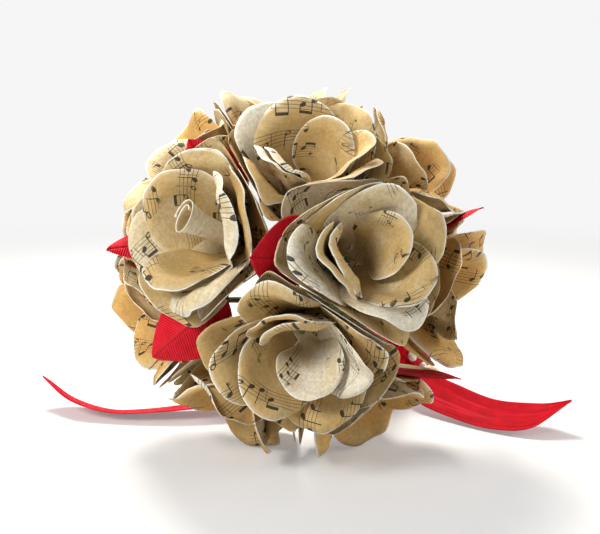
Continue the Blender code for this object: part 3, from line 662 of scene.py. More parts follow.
def make_blossom(rose, blossom, height):
    """One blossom: a grid for each petal, whose cut rim rolls a little back over the paper's
    outer face. The sheet map is the flat petal in millimetres, laid askew on a page of music."""
    level = rose.blossoms.index(blossom)
    count = PETAL_GRID if rose.blossoms in (FRONT, ROLLED) else RING_GRID
    rows = np.concatenate([[-1.0], np.linspace(0.0, 1.0, count) ** ROW_EASE])
    v, s = np.meshgrid(rows, np.sin(np.linspace(-1, 1, count) * math.pi / 2), indexing="ij")
    x, y = flat_petal(np.maximum(v, 0.0), s)
    rim = petal_rim_distance(v, s)
    eye = rose.base + EYE_HEIGHT * rose.axis
    points, sheets, tones, petals = [], [], [], range(len(blossom.opens))
    for index in petals:
        luck = random.Random(f"page {rose.name} {blossom.name} {index}")
        grid = petal_points(rose, blossom, height, index, v, s)
        normal = surface_normals(grid)
        backward = np.sign(np.sum(normal * (grid - eye), axis=-1, keepdims=True))
        share = luck.uniform(*LIP_RANGE) * (1.0 + luck.uniform(-LIP_LEAN, LIP_LEAN) * s)
        lip = LIP_DEPTH * share * np.clip(1.0 - rim / LIP_WIDTH, 0.0, 1.0) ** 2
        points.append(press_petal(grid + normal * backward * lip[..., None], rose, level))
        askew = luck.uniform(0.0, math.tau)
        sheet_x = luck.uniform(0.0, PAGE) + x * math.cos(askew) - y * math.sin(askew)
        sheet_y = luck.uniform(0.0, PAGE) + x * math.sin(askew) + y * math.cos(askew)
        sheets.append(stacked(sheet_x, sheet_y))
        tone = luck.uniform(*TONES_AND_BACKLIT_GLOW[rose.blossoms])
        turned = TONE_TURN if luck.random() < TURNED_SHARE else 0.0
        tones.append(np.full(v.shape, tone + turned))
    faces = np.vstack([grid_faces(*v.shape, first=index * v.size) for index in petals])
    # The depth float also drives the painted shade down in the rose.
    floats = {"rim": [rim for _ in petals], "depth": [np.maximum(v, 0.0) for _ in petals], "tone": tones}
    node = f"{rose.name}_{blossom.name}"
    finish_paper(mesh_object(f"{node}_paper", np.array(points), faces, np.array(sheets), floats), node)


def thicken(piece, thickness):
    """Gives a sheet a wall of that many millimetres, half of it on each side."""
    wall = piece.modifiers.new("Thickness", "SOLIDIFY")
    wall.thickness = thickness * MM
    wall.offset = 0.0
    return wall


def settle(piece, slot, node, *finishes):
    """Gives a piece its finishes, and lets it ride on the bouquet in its node's place. The slot is not
    used.
    """
    for finish in finishes:
        piece.data.materials.append(finish)
    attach(piece, "root")
    if node:
        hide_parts(node)


def finish_paper(piece, node):
    """Gives a paper piece its thickness, its two faces and its cut edge, in its node's place."""
    wall = thicken(piece, PAPER)
    wall.material_offset_rim = 1
    wall.material_offset = 2
    slot = "outer_paper" if node.endswith("_outer") else "inner_paper"
    settle(piece, slot, node, MUSIC_PAPER, CUT_EDGE, PAPER_BACK)


STAFF_PERIOD = 18.0
STAFF_SPACE = 1.7
LINE_HALF = 0.14
LINE_INK = 0.85
NOTE_PITCH = 5.8
NOTE_STEPS = 8.0
NOTE_LOWEST = 4.5
NOTE_LONG = 1.5
NOTE_SHORT = 1.08
NOTE_TILT = 0.35
NOTE_HOLLOW = 0.32
HOLLOW_FROM = 0.75
REST_BELOW = 0.14
NOTE_STEM_HALF = 0.25
NOTE_STEM_TALL = 4.6
NOTE_STEM_SPREAD = 2.2
NOTE_STEM_INSET = 0.15
BEAM_HALF = 0.75
BEAM_DROP = 0.45
BEAM_FROM = 0.4
PAIR_DRAW = 7.0
PRINT_FROM = 0.47
PRINT_TO = 0.5
PRINT_WEAR = 0.15


def new_group(name, inputs, outputs):
    """An empty node group with those inputs and outputs: its nodes, and its inputs' values."""
    tree = bpy.data.node_groups.new(name, "ShaderNodeTree")
    for way, sockets in (("INPUT", inputs), ("OUTPUT", outputs)):
        for key, kind in sockets.items():
            tree.interface.new_socket(key, in_out=way, socket_type=f"NodeSocket{kind}")
    n = Nodes(tree)
    given = n.add("NodeGroupInput").outputs
    return n, [Wire(n, given[key]) for key in inputs]


def chances(n, *cell):
    """Three random numbers from 0 to 1 for each cell."""
    inputs = {"Vector": n.join(*cell)}
    return n.split(n.read("ShaderNodeTexWhiteNoise", "Color", inputs, noise_dimensions="3D"), "Color")


def music_print_group():
    """Ink on the sheet, 0 to 1, from its place in millimetres: five-line staves, note heads at
    random steps of the staff, their stems up to a shared height, beams over pairs, and bar lines.
    Only some patches of the sheet are printed."""
    n, (place,) = new_group("music_print", {"Place": "Vector"}, {"Ink": "Float"})
    u, w, _ = n.split(place)
    staff = w // STAFF_PERIOD
    f = w - (staff + 0.5) * STAFF_PERIOD
    in_staff = abs(f) < 2 * STAFF_SPACE + LINE_HALF
    lines = (n.math("PINGPONG", f, STAFF_SPACE / 2) < LINE_HALF) * in_staff * LINE_INK

    column = u // NOTE_PITCH
    du = u - (column + 0.5) * NOTE_PITCH
    chance = chances(n, column, staff)
    pitch = (n.math("FLOOR", chance[0] * NOTE_STEPS) - NOTE_LOWEST) * (STAFF_SPACE / 2)
    above = f - pitch
    tilted = above - du * NOTE_TILT
    inside = (du / NOTE_LONG) ** 2.0 + (tilted / NOTE_SHORT) ** 2.0
    head = (inside < 1.0) - (inside < NOTE_HOLLOW) * (chance[2] > HOLLOW_FROM)

    pair = column // 2.0
    shared = chances(n, pair, staff, PAIR_DRAW)
    top = shared[0] * NOTE_STEM_SPREAD + NOTE_STEM_TALL
    in_stem = (above > 0.0) * (f < top)
    stem = (abs(du - (NOTE_LONG - NOTE_STEM_INSET)) < NOTE_STEM_HALF) * in_stem
    note = n.math("MAXIMUM", head, stem) * (chance[1] > REST_BELOW)

    pair_u = u - pair * (2 * NOTE_PITCH)
    first_stem = NOTE_PITCH / 2 + NOTE_LONG - 2 * NOTE_STEM_INSET
    in_beam = (pair_u > first_stem) * (pair_u < first_stem + NOTE_PITCH + 2 * NOTE_STEM_INSET)
    beam = (abs(f - (top - BEAM_DROP)) < BEAM_HALF) * in_beam * (shared[1] > BEAM_FROM)
    bar = (n.math("PINGPONG", u, 2 * NOTE_PITCH) < LINE_HALF) * in_staff

    ink = n.math("MAXIMUM", n.math("MAXIMUM", note, beam), n.math("MAXIMUM", lines, bar))
    patch = n.step(n.noise(place, 0.03, 2.0), PRINT_FROM, PRINT_TO)
    worn = 1.0 - n.noise(place, 0.9, 3.0) * PRINT_WEAR
    n.add("NodeGroupOutput", {"Ink": ink * patch * worn})
    return n.tree


def aged_paper_and_painted_light_group():
    """Paper colour and fibre relief from its place in millimetres: tan with cream clouds, brown
    foxing spots and fine fibres; painted shade makes it darker and warmer down in the rose, and it
    is paler along a cut edge, partly as less toned paper and partly as a painted highlight. Its
    golden tint at the highest tones is partly a painted backlit glow."""
    inputs = {"Place": "Vector", "Rim": "Float", "Depth": "Float", "Tone": "Float"}
    n, (place, rim, depth, tone) = new_group("aged_paper", inputs, {"Color": "Color", "Fibres": "Float"})
    age = n.noise(place, 0.05, 5.0, 0.6) * 0.7 + tone * 0.65
    colour = n.mix(n.step(age, 0.3, 0.55), srgb(242, 236, 218), srgb(224, 204, 160))
    colour = n.glaze(
        colour,
        (n.step(age, 0.55, 0.75), 1.0, (206, 175, 116)),
        # Golden at the highest tones: partly the paper's own colour, partly a painted backlit glow on the
        # ring roses.
        (n.step(age, 0.75, 0.98), 1.0, (230, 182, 102)),
        (n.step(n.noise(place, 0.11, 6.0, 0.65), 0.55, 0.75), 0.5, (168, 138, 82)),
        (n.step(n.noise(place, 0.7, 2.0), 0.64, 0.74), 0.3, (150, 108, 60)),
        # Painted shade: darker and warmer paper down in the rose, towards the collar.
        (1.0 - n.step(depth, 0.0, 0.62), 0.55, (122, 88, 38)),
        (n.step(n.noise(place, 0.5, 6.0, 0.8), 0.38, 0.62), 0.36, (144, 116, 66)),
        # Paler along the cut edge: partly paper less toned there, partly a painted highlight where the
        # curled rim catches light.
        (1.0 - n.step(rim, 0.5, 2.6), 0.3, (240, 232, 208)),
        (1.0 - n.step(rim, 0.2, 0.8), 0.9, (252, 249, 238)),
    )
    fibres = n.noise(place, 3.2, 5.0, 0.7)
    n.add("NodeGroupOutput", {"Color": colour, "Fibres": fibres})
    return n.tree


def make_music_paper(name, tone_turn, shift):
    """Old music paper: the old sheet's colour, with its painted shade, highlight and glow, and ink
    over it. One face of a sheet isn't as brown as the other, and its print is another page's."""
    material, n = new_material(name)
    place = n.read("ShaderNodeUVMap", uv_map="sheet")
    place = n.read("ShaderNodeVectorMath", 0, {0: place, 1: (shift, shift, 0.0)}, operation="ADD")
    rim, depth, tone = (n.attribute(key) for key in ("rim", "depth", "tone"))
    tone = n.math("FRACT", tone + tone_turn)
    aged_and_painted_light = n.place(AGED_PAPER_AND_PAINTED_LIGHT, {"Place": place, "Rim": rim, "Depth": depth, "Tone": tone})
    ink = n.place(MUSIC_PRINT, {"Place": place})["Ink"]
    return shade(material, n, {
        "Base Color": n.mix(ink, aged_and_painted_light["Color"], srgb(22, 15, 11)),
        "Roughness": aged_and_painted_light["Fibres"] * 0.2 + 0.62,
        "Normal": n.bump(aged_and_painted_light["Fibres"], 0.0002, 0.35),
        "Subsurface Weight": 0.12,
        "Subsurface Radius": (1.0, 0.82, 0.55),
        "Subsurface Scale": 0.0004,
    })


def make_cut_edge():
    """The paper's cut edge: its pale core, a little furry."""
    material, n = new_material("paper_cut_edge")
    fuzz = n.noise(n.read("ShaderNodeTexCoord", "Object"), 1800.0, 3.0)
    colour = n.mix(fuzz, srgb(226, 214, 184), srgb(250, 245, 230))
    return shade(material, n, {"Base Color": colour, "Roughness": 0.9})


MUSIC_PRINT = music_print_group()
AGED_PAPER_AND_PAINTED_LIGHT = aged_paper_and_painted_light_group()
MUSIC_PAPER = make_music_paper("music_paper", 0.0, 0.0)
PAPER_BACK = make_music_paper("music_paper_back", TONE_TURN, 500.0)
CUT_EDGE = make_cut_edge()
for rose in ROSES:
    for place, blossom in enumerate(rose.blossoms):
        make_blossom(rose, blossom, COLLAR_PITCH * place)

# The rolled heart of the rose at the left: a strip of the same paper rolled up into an open spiral
# that stands on the petals below, its top edge flared and cut aslant.
ROLL_HOLE = 3.4
ROLL_PITCH = 1.5
ROLL_TURNS = 1.4
ROLL_TALL = 30.0
ROLL_FLARE = 1.6
ROLL_SLANT = 2.5
ROLL_START = 0.1
ROLL_SEAT = 1.0
ROLL_SEAT_ROWS = (0.0, 0.42, 0.76, 1.0)
ROLL_GRID = (40, 120)
ROLL_PAGE = (40.0, 310.0)
ROLL_PRINT = 0.6


def make_roll(rose):
    """A spiral of growing radius, whose height runs from the petals' own height up to a slant."""
    below = rose.blossoms[-1]
    height = COLLAR_PITCH * (len(rose.blossoms) - 1)
    steepest = (min(below.opens) - below.spiral - OPEN_MOOD) * rose.limits[1].min()
    along, _ = flat_petal(np.array(ROLL_SEAT_ROWS), 0.0)
    along = COLLAR_RADIUS + (along - COLLAR_RADIUS) * below.reach
    seat_radius, seat_height = meridian(along, steepest, below)

    up_share, share = np.meshgrid(*(np.linspace(0, 1, count) for count in ROLL_GRID), indexing="ij")
    turn = math.tau * (share * ROLL_TURNS + ROLL_START)
    wide = ROLL_HOLE + ROLL_PITCH * share * ROLL_TURNS
    foot = height + np.interp(wide + ROLL_SEAT, seat_radius, seat_height) + CARD + CLEARANCE
    ring = wide * (1.0 + (ROLL_FLARE - 1.0) * up_share**3)
    rise = foot + (height + ROLL_TALL + ROLL_SLANT * np.cos(turn) - foot) * up_share
    amounts = (ring * np.cos(turn), ring * np.sin(turn), rise)
    points = rose.base + reached(amounts, (*across(rose.axis, UP), rose.axis))
    sheet = stacked(turn * wide * ROLL_PRINT + ROLL_PAGE[0], rise + ROLL_PAGE[1])
    rim = np.minimum((1.0 - up_share) * ROLL_TALL, (1.0 - share) * math.tau * wide)
    # The depth float makes the roll a little darker towards its foot: painted shade.
    floats = {"rim": rim, "depth": 0.5 + 0.5 * up_share, "tone": np.zeros(share.shape)}
    piece = mesh_object(f"{rose.name}_heart_paper", points, grid_faces(*share.shape), sheet, floats)
    finish_paper(piece, f"{rose.name}_heart")


make_roll(ROSES[0])

# The leaves. Each is cut from ribbed red card, creased down its middle rib and folded a little, and
# stands between the roses with its root out of sight.
LEAF_TAPER = 0.8
LEAF_FOOT = 1.2
LEAF_PAPER = 0.3
LEAF_GRID = (48, 33)
LEAF_WAVE = 0.35
LEAF_WAVES = (9.0, 2.0)
CREASE_DEPTH = 0.35
CREASE_HALF = 0.5
RIB_PITCH = 1.2
RIB_SLANT = 0.55


def make_leaf(leaf):
    """A pointed blade: its half width swells and tapers along it, and its height is leaf_height,
    less a groove along the crease, with slow waves that grow towards its edges."""
    root, length, *ways = leaf_frame(leaf)
    lines = np.linspace(0, 1, LEAF_GRID[0]), np.linspace(-1, 1, LEAF_GRID[1])
    share, s = np.meshgrid(*lines, indexing="ij")
    taper = np.sin(math.pi * share**LEAF_TAPER) ** LEAF_TAPER
    width = np.maximum(leaf.half_width * taper, LEAF_FOOT * (1 - share))
    x, y = share * length, s * width
    z = leaf_height(leaf, length, x, y) - CREASE_DEPTH * np.exp(-((y / CREASE_HALF) ** 2))
    z = z + LEAF_WAVE * np.sin(LEAF_WAVES[0] * share + LEAF_WAVES[1] * s) * s**2
    points = root + reached((x, y, z), ways)
    floats = {"rim": np.minimum(width - np.abs(y), length - x)}
    piece = mesh_object(f"{leaf.name}_card", points, grid_faces(*s.shape), stacked(x, y), floats)
    thicken(piece, LEAF_PAPER)
    settle(piece, "leaf", leaf.name, RED_CARD)


def make_red_card():
    """Red card with fine slanting ribs pressed into it, with painted shade in the grooves and along the
    crease.
    """
    material, n = new_material("ribbed_red_card")
    place = n.read("ShaderNodeUVMap", uv_map="sheet")
    x, y, _ = n.split(place)
    rib = n.wave(x - abs(y) * RIB_SLANT, RIB_PITCH) * 0.5 + 0.5
    clouds = n.noise(place, 0.16, 4.0)
    colour = n.glaze(
        n.mix(n.step(clouds, 0.35, 0.7), srgb(214, 8, 30), srgb(236, 20, 46)),
        # Painted shade: darker in the rib grooves and along the crease.
        (1.0 - rib, 0.35, (140, 4, 20)),
        (1.0 - n.step(abs(y), 0.15, 0.7), 0.5, (120, 4, 18)),
        (1.0 - n.step(n.attribute("rim"), 0.1, 0.7), 0.35, (232, 74, 84)),
    )
    return shade(material, n, {
        "Base Color": colour,
        "Roughness": clouds * 0.2 + 0.42,
        "Normal": n.bump(rib, 0.0003, 0.8),
        "Specular IOR Level": 0.2,
    })


RED_CARD = make_red_card()
for leaf in LEAVES:
    make_leaf(leaf)

# The stems. Each is a wire wound with green paper tape, which runs from its rose's seat through the
# binding and down inside the wrapped handle, in its own lane of the bundle.
STEM_TOP = 5.0
STEM_BEND = 16.0
STEM_EASE = 30.0
STEM_STEPS = 28
STEM_SIDES = 16
CAP_SHARE = 0.02
CORE_STEMS = 4
BUNDLE_NEST = 0.92
TAPE_PITCH = 5.2
TAPE_SLANT = 0.55
HANDLE_TURN = 36.0
HANDLE_SLOPE = 33.0
BINDING_DEPTH = 64.0
HANDLE_WALL = 1.1
HANDLE_CAP = 1.5
LAP_PITCH = 15.0
LAP_STEP = 0.4
HANDLE_AXIS = -direction(-HANDLE_TURN, HANDLE_SLOPE)
HANDLE_SIDE, HANDLE_TOP = across(HANDLE_AXIS, UP)


def bundle_place(index):
    """Where a stem runs in the handle: the first in the core and the others in a ring round them."""
    pitch = 2 * STEM_RADIUS + CLEARANCE
    core = pitch / (2 * math.sin(math.pi / CORE_STEMS))
    outer_count = len(ROSES) - CORE_STEMS
    ring = max(pitch / (2 * math.sin(math.pi / outer_count)), core + BUNDLE_NEST * pitch)
    if index < CORE_STEMS:
        return core, math.pi / CORE_STEMS + math.tau * index / CORE_STEMS
    return ring, math.pi / outer_count + math.tau * (index - CORE_STEMS) / outer_count


def wrap_outer_radius():
    """How far the laps stand from the handle's axis: the bundle, a gap, the wrap and a lap's step."""
    return bundle_place(len(ROSES) - 1)[0] + STEM_RADIUS + CLEARANCE + HANDLE_WALL + LAP_STEP


def handle_reach():
    """How far the handle's end is from the head, so that its last lap just meets the table."""
    slope = math.radians(HANDLE_SLOPE)
    return (HEAD[2] - wrap_outer_radius() * math.cos(slope)) / math.sin(slope) + LAP_STEP


def turn_round_handle(rose):
    """The turn of a rose's seat round the handle's axis, from its side towards its top."""
    seat = direction(*rose.seat)
    return math.atan2(seat @ HANDLE_TOP, seat @ HANDLE_SIDE) % math.tau


def walked(line):
    """The distance along a line to each of its points."""
    return np.concatenate([[0.0], np.cumsum(np.linalg.norm(np.diff(line, axis=0), axis=1))])


def tube(name, line, radius, sides):
    """A closed tube round a line, capped by rings that shrink to its ends. The sheet map runs
    round it and along it in millimetres."""
    line = np.vstack([line[:1], line, line[-1:]])
    radii = np.full(len(line), radius)
    radii[[0, -1]] = radius * CAP_SHARE
    tangent = unit(np.gradient(line, axis=0))
    side = unit(np.cross(tangent, UP))
    top = np.cross(side, tangent)
    side[0], top[0], side[-1], top[-1] = side[1], top[1], side[-2], top[-2]
    turn = full_turn(sides)
    ring = np.cos(turn)[None, :, None] * side[:, None] + np.sin(turn)[None, :, None] * top[:, None]
    points = line[:, None] + ring * radii[:, None, None]
    sheet = stacked(turn * radius, walked(line)[:, None])
    return mesh_object(name, points, grid_faces(len(line), sides, wrap=True), sheet)


def stem_line(rose, index):
    """The route from the rose's seat, by one cubic curve into the binding, to the handle's end."""
    ring, bearing = bundle_place(index)
    lane = ring * round_axis(bearing, HANDLE_SIDE, HANDLE_TOP)
    bend = rose.base - rose.axis * STEM_BEND
    binding = HEAD + HANDLE_AXIS * BINDING_DEPTH + lane
    end = HEAD + HANDLE_AXIS * (handle_reach() - HANDLE_CAP - CLEARANCE) + lane
    entry = binding - HANDLE_AXIS * STEM_EASE
    t = np.linspace(0.0, 1.0, STEM_STEPS)[:, None]
    curve = (1 - t) ** 3 * rose.base + 3 * (1 - t) ** 2 * t * bend + 3 * (1 - t) * t**2 * entry
    return np.vstack([rose.base + rose.axis * STEM_TOP, curve + t**3 * binding, end])


def make_stem_tape():
    """Green paper tape wound in slanting laps, with a dark line where each lap ends."""
    material, n = new_material("green_stem_tape")
    place = n.read("ShaderNodeUVMap", uv_map="sheet")
    x, y, _ = n.split(place)
    lap = n.math("FRACT", (y + x * TAPE_SLANT) / TAPE_PITCH)
    clouds = n.noise(place, 0.8, 4.0)
    colour = n.mix(clouds, srgb(86, 104, 58), srgb(118, 134, 82))
    colour = n.glaze(colour, (1.0 - n.step(lap, 0.0, 0.12), 0.6, (48, 60, 32)))
    normal = n.bump(lap + clouds, 0.0002, 0.5)
    return shade(material, n, {"Base Color": colour, "Roughness": 0.7, "Normal": normal})


STEM_TAPE = make_stem_tape()
core = sorted(ROSES[:CORE_STEMS], key=turn_round_handle)
ring = sorted(ROSES[CORE_STEMS:], key=turn_round_handle)
for index, rose in enumerate(core + ring):
    piece = tube(f"{rose.name}_stem_tape", stem_line(rose, index), STEM_RADIUS, STEM_SIDES)
    settle(piece, "stem", f"{rose.name}_stem", STEM_TAPE)

# The wrapped handle: satin ribbon wound round the stems in slanting laps, from the binding down,
# and folded over their cut ends.
WRAP_GRID = (150, 72)
WRAP_TUCK = (3.0, 0.6, 0.0)
WRAP_EASE = 0.35
WRAP_END = 0.3
WRAP_TIP = 0.02
LAP_EASE = 0.06
LAP_SINK = 0.05


def make_handle_wrap():
    """A tube round the handle's axis whose radius steps up a little along each lap of a helix; its
    top turns in round the stems and its end is closed flat. The sheet map runs across each lap
    and round the handle in millimetres."""
    inner = wrap_outer_radius() - LAP_STEP - HANDLE_WALL
    outer = inner + HANDLE_WALL
    length = handle_reach() - BINDING_DEPTH
    pitch = length / max(1, round(length / LAP_PITCH))
    depth = np.linspace(WRAP_EASE, length - WRAP_END, WRAP_GRID[0])
    depth = np.concatenate([WRAP_TUCK, depth, [length, length, length]])
    turn = full_turn(WRAP_GRID[1])
    lap = (depth[:, None] / pitch - turn / math.tau) % 1.0
    radius = outer - LAP_SINK + LAP_STEP * smooth(lap / LAP_EASE) * (1.0 - lap)
    radius[:3] = [[inner], [inner], [inner + 0.5 * HANDLE_WALL]]
    radius[-3:] = [[outer], [0.5 * outer], [WRAP_TIP]]
    along = np.multiply.outer(depth + BINDING_DEPTH, HANDLE_AXIS)
    points = HEAD + along[:, None] + radius[..., None] * round_axis(turn, HANDLE_SIDE, HANDLE_TOP)
    sheet = stacked((lap - 0.5) * pitch, turn * outer)
    return mesh_object("handle_satin", points, grid_faces(*lap.shape, wrap=True), sheet)


RIB_STEP = 0.42
THREAD_STEP = 0.3


def satin_group():
    """Red satin from its place across and along a ribbon in millimetres: fine ribs across it, painted
    sheen as light and dark streaks along it, a tight woven edge and a faint cloudy sheen."""
    outputs = {"Color": "Color", "Roughness": "Float", "Height": "Float"}
    n, (place, half_width) = new_group("red_satin", {"Place": "Vector", "Half Width": "Float"}, outputs)
    x, y, _ = n.split(place)
    rib, thread = n.wave(y, RIB_STEP), n.wave(x, THREAD_STEP)
    clouds = n.noise(place, 0.12, 4.0)
    painted_sheen = n.noise(n.join(x * 0.32, y * 0.012), 1.0, 3.0)
    colour = n.glaze(
        n.mix(n.step(clouds, 0.3, 0.7), srgb(188, 1, 20), srgb(216, 4, 34)),
        # Painted sheen: light streaks along the ribbon stand in for the satin's highlights, dark ones for
        # its shade.
        (n.step(painted_sheen, 0.5, 0.68), 0.7, (240, 52, 78)),
        (1.0 - n.step(painted_sheen, 0.32, 0.48), 0.6, (150, 0, 14)),
        (rib + 1.0, 0.08, (138, 4, 20)),
        (1.0 - n.step(half_width - abs(x), 0.5, 0.9), 0.35, (160, 8, 26)),
    )
    height = rib * 0.6 + thread * 0.4
    n.add("NodeGroupOutput", {"Color": colour, "Roughness": clouds * 0.14 + 0.42, "Height": height})
    return n.tree


def make_satin(name, half_width):
    """The satin of a ribbon of that half width in millimetres, by its sheet map."""
    material, n = new_material(name)
    inputs = {"Place": n.read("ShaderNodeUVMap", uv_map="sheet"), "Half Width": half_width}
    satin = n.place(RED_SATIN, inputs)
    return shade(material, n, {
        "Base Color": satin["Color"],
        "Roughness": satin["Roughness"],
        "Normal": n.bump(satin["Height"], 0.00006, 0.5),
        "Specular IOR Level": 0.06,
    })


RED_SATIN = satin_group()
settle(make_handle_wrap(), "ribbon", "handle_wrap", make_satin("wrapped_satin", LAP_PITCH / 2))

# The ribbon tied round the handle: 22 mm red satin, one band round the handle, two bow loops and
# two long tails that lie on the table and curl up at their pointed tips, all gathered in the knot.
RIBBON_WIDTH = 22.0
RIBBON_HALF = RIBBON_WIDTH / 2
SATIN = 0.5
SATIN_CLOTH = 0.3
STRIP_COLUMNS = 28
PLEAT = 0.9
PLEATS = 4
TIP_SHARE = 0.13
EDGE_CURL = 0.5
BOW_DEPTH = 104.0
BOW_TURN = 108.0
BAND_PROUD = 0.15
BAND_ROWS = 90
KNOT_SIZE = np.array([13.0, 15.0, 9.0])
KNOT_SINK = 2.5
KNOT_SQUARENESS = 0.75
KNOT_FOLD = 0.045
KNOT_FOLDS = (9.0, 2.0)
KNOT_GRID = (60, 96)
LOOP_TURN = 20.0
LOOP_REACH = 30.0
LOOP_FULLNESS = 13.0
LOOP_MOUTH = 2.4
LOOP_GATHER = 0.3
LOOP_OPENING = 1.6
LOOP_ROOT = 1.0
LOOP_ROUND = 0.8
LOOP_STATIONS = 9
LOOP_ROWS = 110
TAIL_SPREAD = 3.0
TAIL_ROOT = 3.0
LEFT_ROWS = 220
RIGHT_ROWS = 150
BOW_OUT = round_axis(-math.radians(BOW_TURN), HANDLE_TOP, HANDLE_SIDE)
LEFT_TAIL = (
    ((46, 60, 17), 6.0, (0.5, 1.0, 0.2)),
    ((24, 52, 9), 10.0, (0.2, 1.0, 0.1)),
    ((-4, 43, 7), 11.0, (-0.1, 1.0, -0.05)),
    ((-32, 36, 7.5), 11.0, (-0.2, 0.93, -0.16)),
    ((-57, 30, 6.5), 11.0, (-0.2, 0.93, -0.2)),
    ((-82, 28, 4.5), 11.0, (-0.2, 0.92, -0.24)),
    ((-104, 30, 3.6), 11.0, (-0.2, 0.92, -0.24)),
    ((-126, 37, 8), 11.0, (-0.26, 0.92, -0.16)),
    ((-144, 46, 18), 1.0, (-0.35, 0.95, 0.1)),
)
RIGHT_TAIL = (
    ((59, 58, 20), 6.0, (0.3, 0.75, 0.6)),
    ((66, 45, 13.5), 10.5, (0.2, 0.7, 0.65)),
    ((83, 29, 9.5), 11.0, (0.2, 0.75, 0.6)),
    ((103, 15, 6.5), 11.0, (0.2, 0.85, 0.42)),
    ((124, 8, 8.5), 11.0, (0.3, 0.92, 0.25)),
    ((141, 4, 18), 1.0, (0.35, 0.95, 0.1)),
)


def eased(values, count):
    """That many values along a smooth curve through the given ones, as a Catmull-Rom spline."""
    values = np.array(values, float)
    padded = np.vstack([2 * values[0] - values[1], values, 2 * values[-1] - values[-2]])
    share = np.linspace(0, len(values) - 1, count)
    start = np.minimum(share.astype(int), len(values) - 2)
    f = (share - start)[:, None]
    a, b, c, d = (padded[start + step] for step in range(4))
    bend = (2 * a - 5 * b + 4 * c - d) * f**2 + (3 * b - a - 3 * c + d) * f**3
    return b + 0.5 * ((c - a) * f + bend)


def ribbon_strip(stations, rows):
    """A strip through stations of place, half width and way across: pleated where it narrows, and
    curled a little along its edges. Gives its points and its flat place in millimetres."""
    line = eased([station[0] for station in stations], rows)
    half = eased([[station[1]] for station in stations], rows)
    way = unit(eased([station[2] for station in stations], rows))
    face = unit(np.cross(np.gradient(line, axis=0), way))
    before_tip = np.clip(np.arange(rows)[::-1, None] / (TIP_SHARE * rows), 0.0, 1.0)
    gather = np.clip(1.0 - half / RIBBON_HALF, 0.0, 1.0) * before_tip
    s = np.linspace(-1.0, 1.0, STRIP_COLUMNS)
    ripple = PLEAT * gather * np.cos(PLEATS * math.pi * s) + EDGE_CURL * (1.0 - gather) * s**4
    points = line[:, None] + way[:, None] * (s * half)[..., None] + face[:, None] * ripple[..., None]
    return points, stacked(s * RIBBON_HALF, walked(line)[:, None])


def knot_centre():
    """The knot is sunk a little into the band, on the side that faces the viewer."""
    band = wrap_outer_radius() + CLEARANCE + SATIN
    return HEAD + HANDLE_AXIS * BOW_DEPTH + BOW_OUT * (band + KNOT_SIZE[2] / 2 - KNOT_SINK)


def loop_stations(way):
    """One loop of the bow: out along its front, round its end and back, gathered at the knot."""
    turn = math.radians(LOOP_TURN)
    out = way * (math.cos(turn) * np.cross(HANDLE_AXIS, BOW_OUT) - math.sin(turn) * HANDLE_AXIS)
    aside, rise = across(out, UP)
    stations = []
    for angle in np.linspace(0.0, math.pi, LOOP_STATIONS):
        swell = math.sin(angle)
        reach = LOOP_ROOT + LOOP_REACH * swell**LOOP_ROUND
        offset = LOOP_MOUTH * math.cos(angle) + LOOP_FULLNESS / 2 * math.sin(2 * angle)
        half = RIBBON_HALF * (LOOP_GATHER + (1.0 - LOOP_GATHER) * smooth(LOOP_OPENING * swell))
        stations.append((knot_centre() + out * reach + aside * offset, half, rise))
    return stations


def tail_stations(stations, spread):
    """One tail, from inside the knot down to the table and up to its pointed tip."""
    foot = np.array([HEAD[0], HEAD[1], 0.0])
    first = (knot_centre() + HANDLE_AXIS * spread, TAIL_ROOT, stations[0][2])
    return [first, *((foot + np.array(place), half, way) for place, half, way in stations)]


def band_strip():
    """The band: once round the handle, its edges a little proud of its middle."""
    lines = np.linspace(0, math.tau, BAND_ROWS), np.linspace(-1, 1, STRIP_COLUMNS)
    turn, s = np.meshgrid(*lines, indexing="ij")
    radius = wrap_outer_radius() + CLEARANCE + SATIN / 2 + BAND_PROUD * np.cos(3 * math.pi * s)
    along = np.multiply.outer(BOW_DEPTH + s * RIBBON_HALF, HANDLE_AXIS)
    flat = stacked(s * RIBBON_HALF, turn * radius.mean())
    return HEAD + along + radius[..., None] * round_axis(turn, HANDLE_SIDE, HANDLE_TOP), flat


def make_ribbon():
    """The whole ribbon as one cloth: its band, loops and tails. Gives it and its flat length."""
    strips = (
        band_strip(),
        ribbon_strip(loop_stations(1.0), LOOP_ROWS),
        ribbon_strip(loop_stations(-1.0), LOOP_ROWS),
        ribbon_strip(tail_stations(LEFT_TAIL, TAIL_SPREAD), LEFT_ROWS),
        ribbon_strip(tail_stations(RIGHT_TAIL, -TAIL_SPREAD), RIGHT_ROWS),
    )
    faces, first = [], 0
    for strip, _ in strips:
        faces.append(grid_faces(*strip.shape[:2], first=first))
        first += strip[..., 0].size
    points, flats = (np.vstack([strip[key].reshape(-1, 3 - key) for strip in strips]) for key in (0, 1))
    piece = mesh_object("satin_ribbon", points, np.vstack(faces), flats)
    thicken(piece, SATIN_CLOTH)
    return piece, sum(float(flat[..., 1].max()) for _, flat in strips)


def make_knot():
    """The knot: a squarish lump whose surface is drawn into folds that run across it."""
    lines = np.linspace(0, math.pi, KNOT_GRID[0]), full_turn(KNOT_GRID[1])
    v, u = np.meshgrid(*lines, indexing="ij")
    ball = stacked(np.sin(v) * np.cos(u), np.sin(v) * np.sin(u), np.cos(v))
    squarish = np.sign(ball) * np.abs(ball) ** KNOT_SQUARENESS
    wave = 0.5 + 0.5 * np.cos(KNOT_FOLDS[0] * ball[..., 0] + KNOT_FOLDS[1] * ball[..., 2])
    local = squarish * (1.0 - KNOT_FOLD * wave * np.sin(v) ** 2)[..., None] * KNOT_SIZE / 2
    points = knot_centre() + local @ np.array([*across(BOW_OUT, HANDLE_AXIS), BOW_OUT])
    return mesh_object("ribbon_knot", points, grid_faces(*v.shape, wrap=True), local[..., [1, 0]])


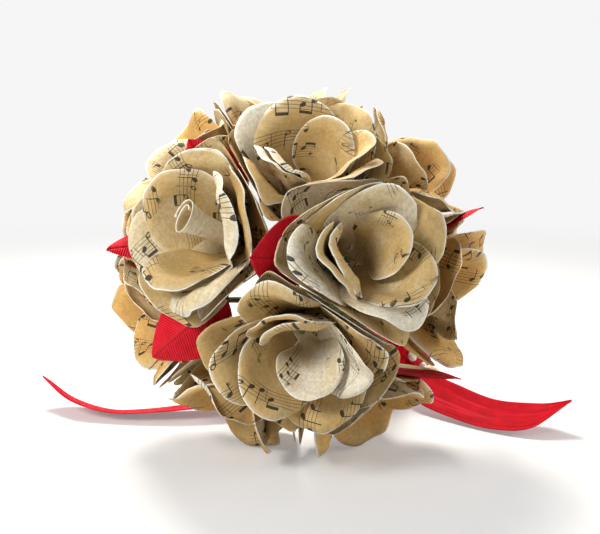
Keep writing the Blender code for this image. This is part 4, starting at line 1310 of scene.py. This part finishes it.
RIBBON_SATIN = make_satin("ribbon_satin", RIBBON_HALF)
ribbon, ribbon_length = make_ribbon()
knot = make_knot()
settle(ribbon, "ribbon", "ribbon_tie", RIBBON_SATIN)
settle(knot, "ribbon", None, RIBBON_SATIN)

# The pins: pearl heads on short steel shanks, one pushed into the knot and two into the handle.
# Each whole pin takes the pearl finish.
PEARL_RADIUS = 2.2
PIN_RADIUS = 0.4
PIN_POLE = 0.001
PIN_NECK = 0.2
PIN_GRID = (30, 40)
KNOT_PIN = 1.8
PIN_PITCH = 15.0


def make_pin(name, depth, seat, length):
    """A ball turned round the pin's axis, with a shank below it, closed at both poles."""
    centre = CLEARANCE + PEARL_RADIUS
    angle = np.linspace(0.0, math.pi - PIN_NECK, PIN_GRID[0])
    ball = np.column_stack([PEARL_RADIUS * np.sin(angle), centre + PEARL_RADIUS * np.cos(angle)])
    profile = np.vstack([ball, [[PIN_RADIUS, PIN_NECK], [PIN_RADIUS, -length], [PIN_POLE, -length]]])
    profile[0, 0] = PIN_POLE
    turn = full_turn(PIN_GRID[1])
    spot = round_axis(turn, *across(BOW_OUT, HANDLE_AXIS))
    start = HEAD + HANDLE_AXIS * depth + BOW_OUT * seat
    points = start + profile[:, None, 1:] * BOW_OUT + profile[:, None, :1] * spot
    return mesh_object(name, points, grid_faces(len(profile), len(turn), wrap=True)[:, ::-1])


def make_pearl():
    """Pearly plastic: warm white under a clear coat, a little cloudy."""
    material, n = new_material("pearl")
    clouds = n.noise(n.read("ShaderNodeTexCoord", "Object"), 420.0, 2.0)
    colour = n.mix(clouds, srgb(232, 226, 214), srgb(250, 247, 240))
    return shade(material, n, {"Base Color": colour, "Roughness": 0.25, "Coat Weight": 0.6})


PEARL = make_pearl()
knot_top = float((knot_centre() - HEAD - HANDLE_AXIS * BOW_DEPTH) @ BOW_OUT + KNOT_SIZE[2] / 2)
in_handle = (wrap_outer_radius(), HANDLE_WALL)
for index, (seat, length) in enumerate(((knot_top, KNOT_PIN), in_handle, in_handle)):
    node = f"pearl_pin_{index + 1}"
    pin = make_pin(f"{node}_pearl", BOW_DEPTH + index * PIN_PITCH, seat, length)
    settle(pin, "pearl", node, PEARL)
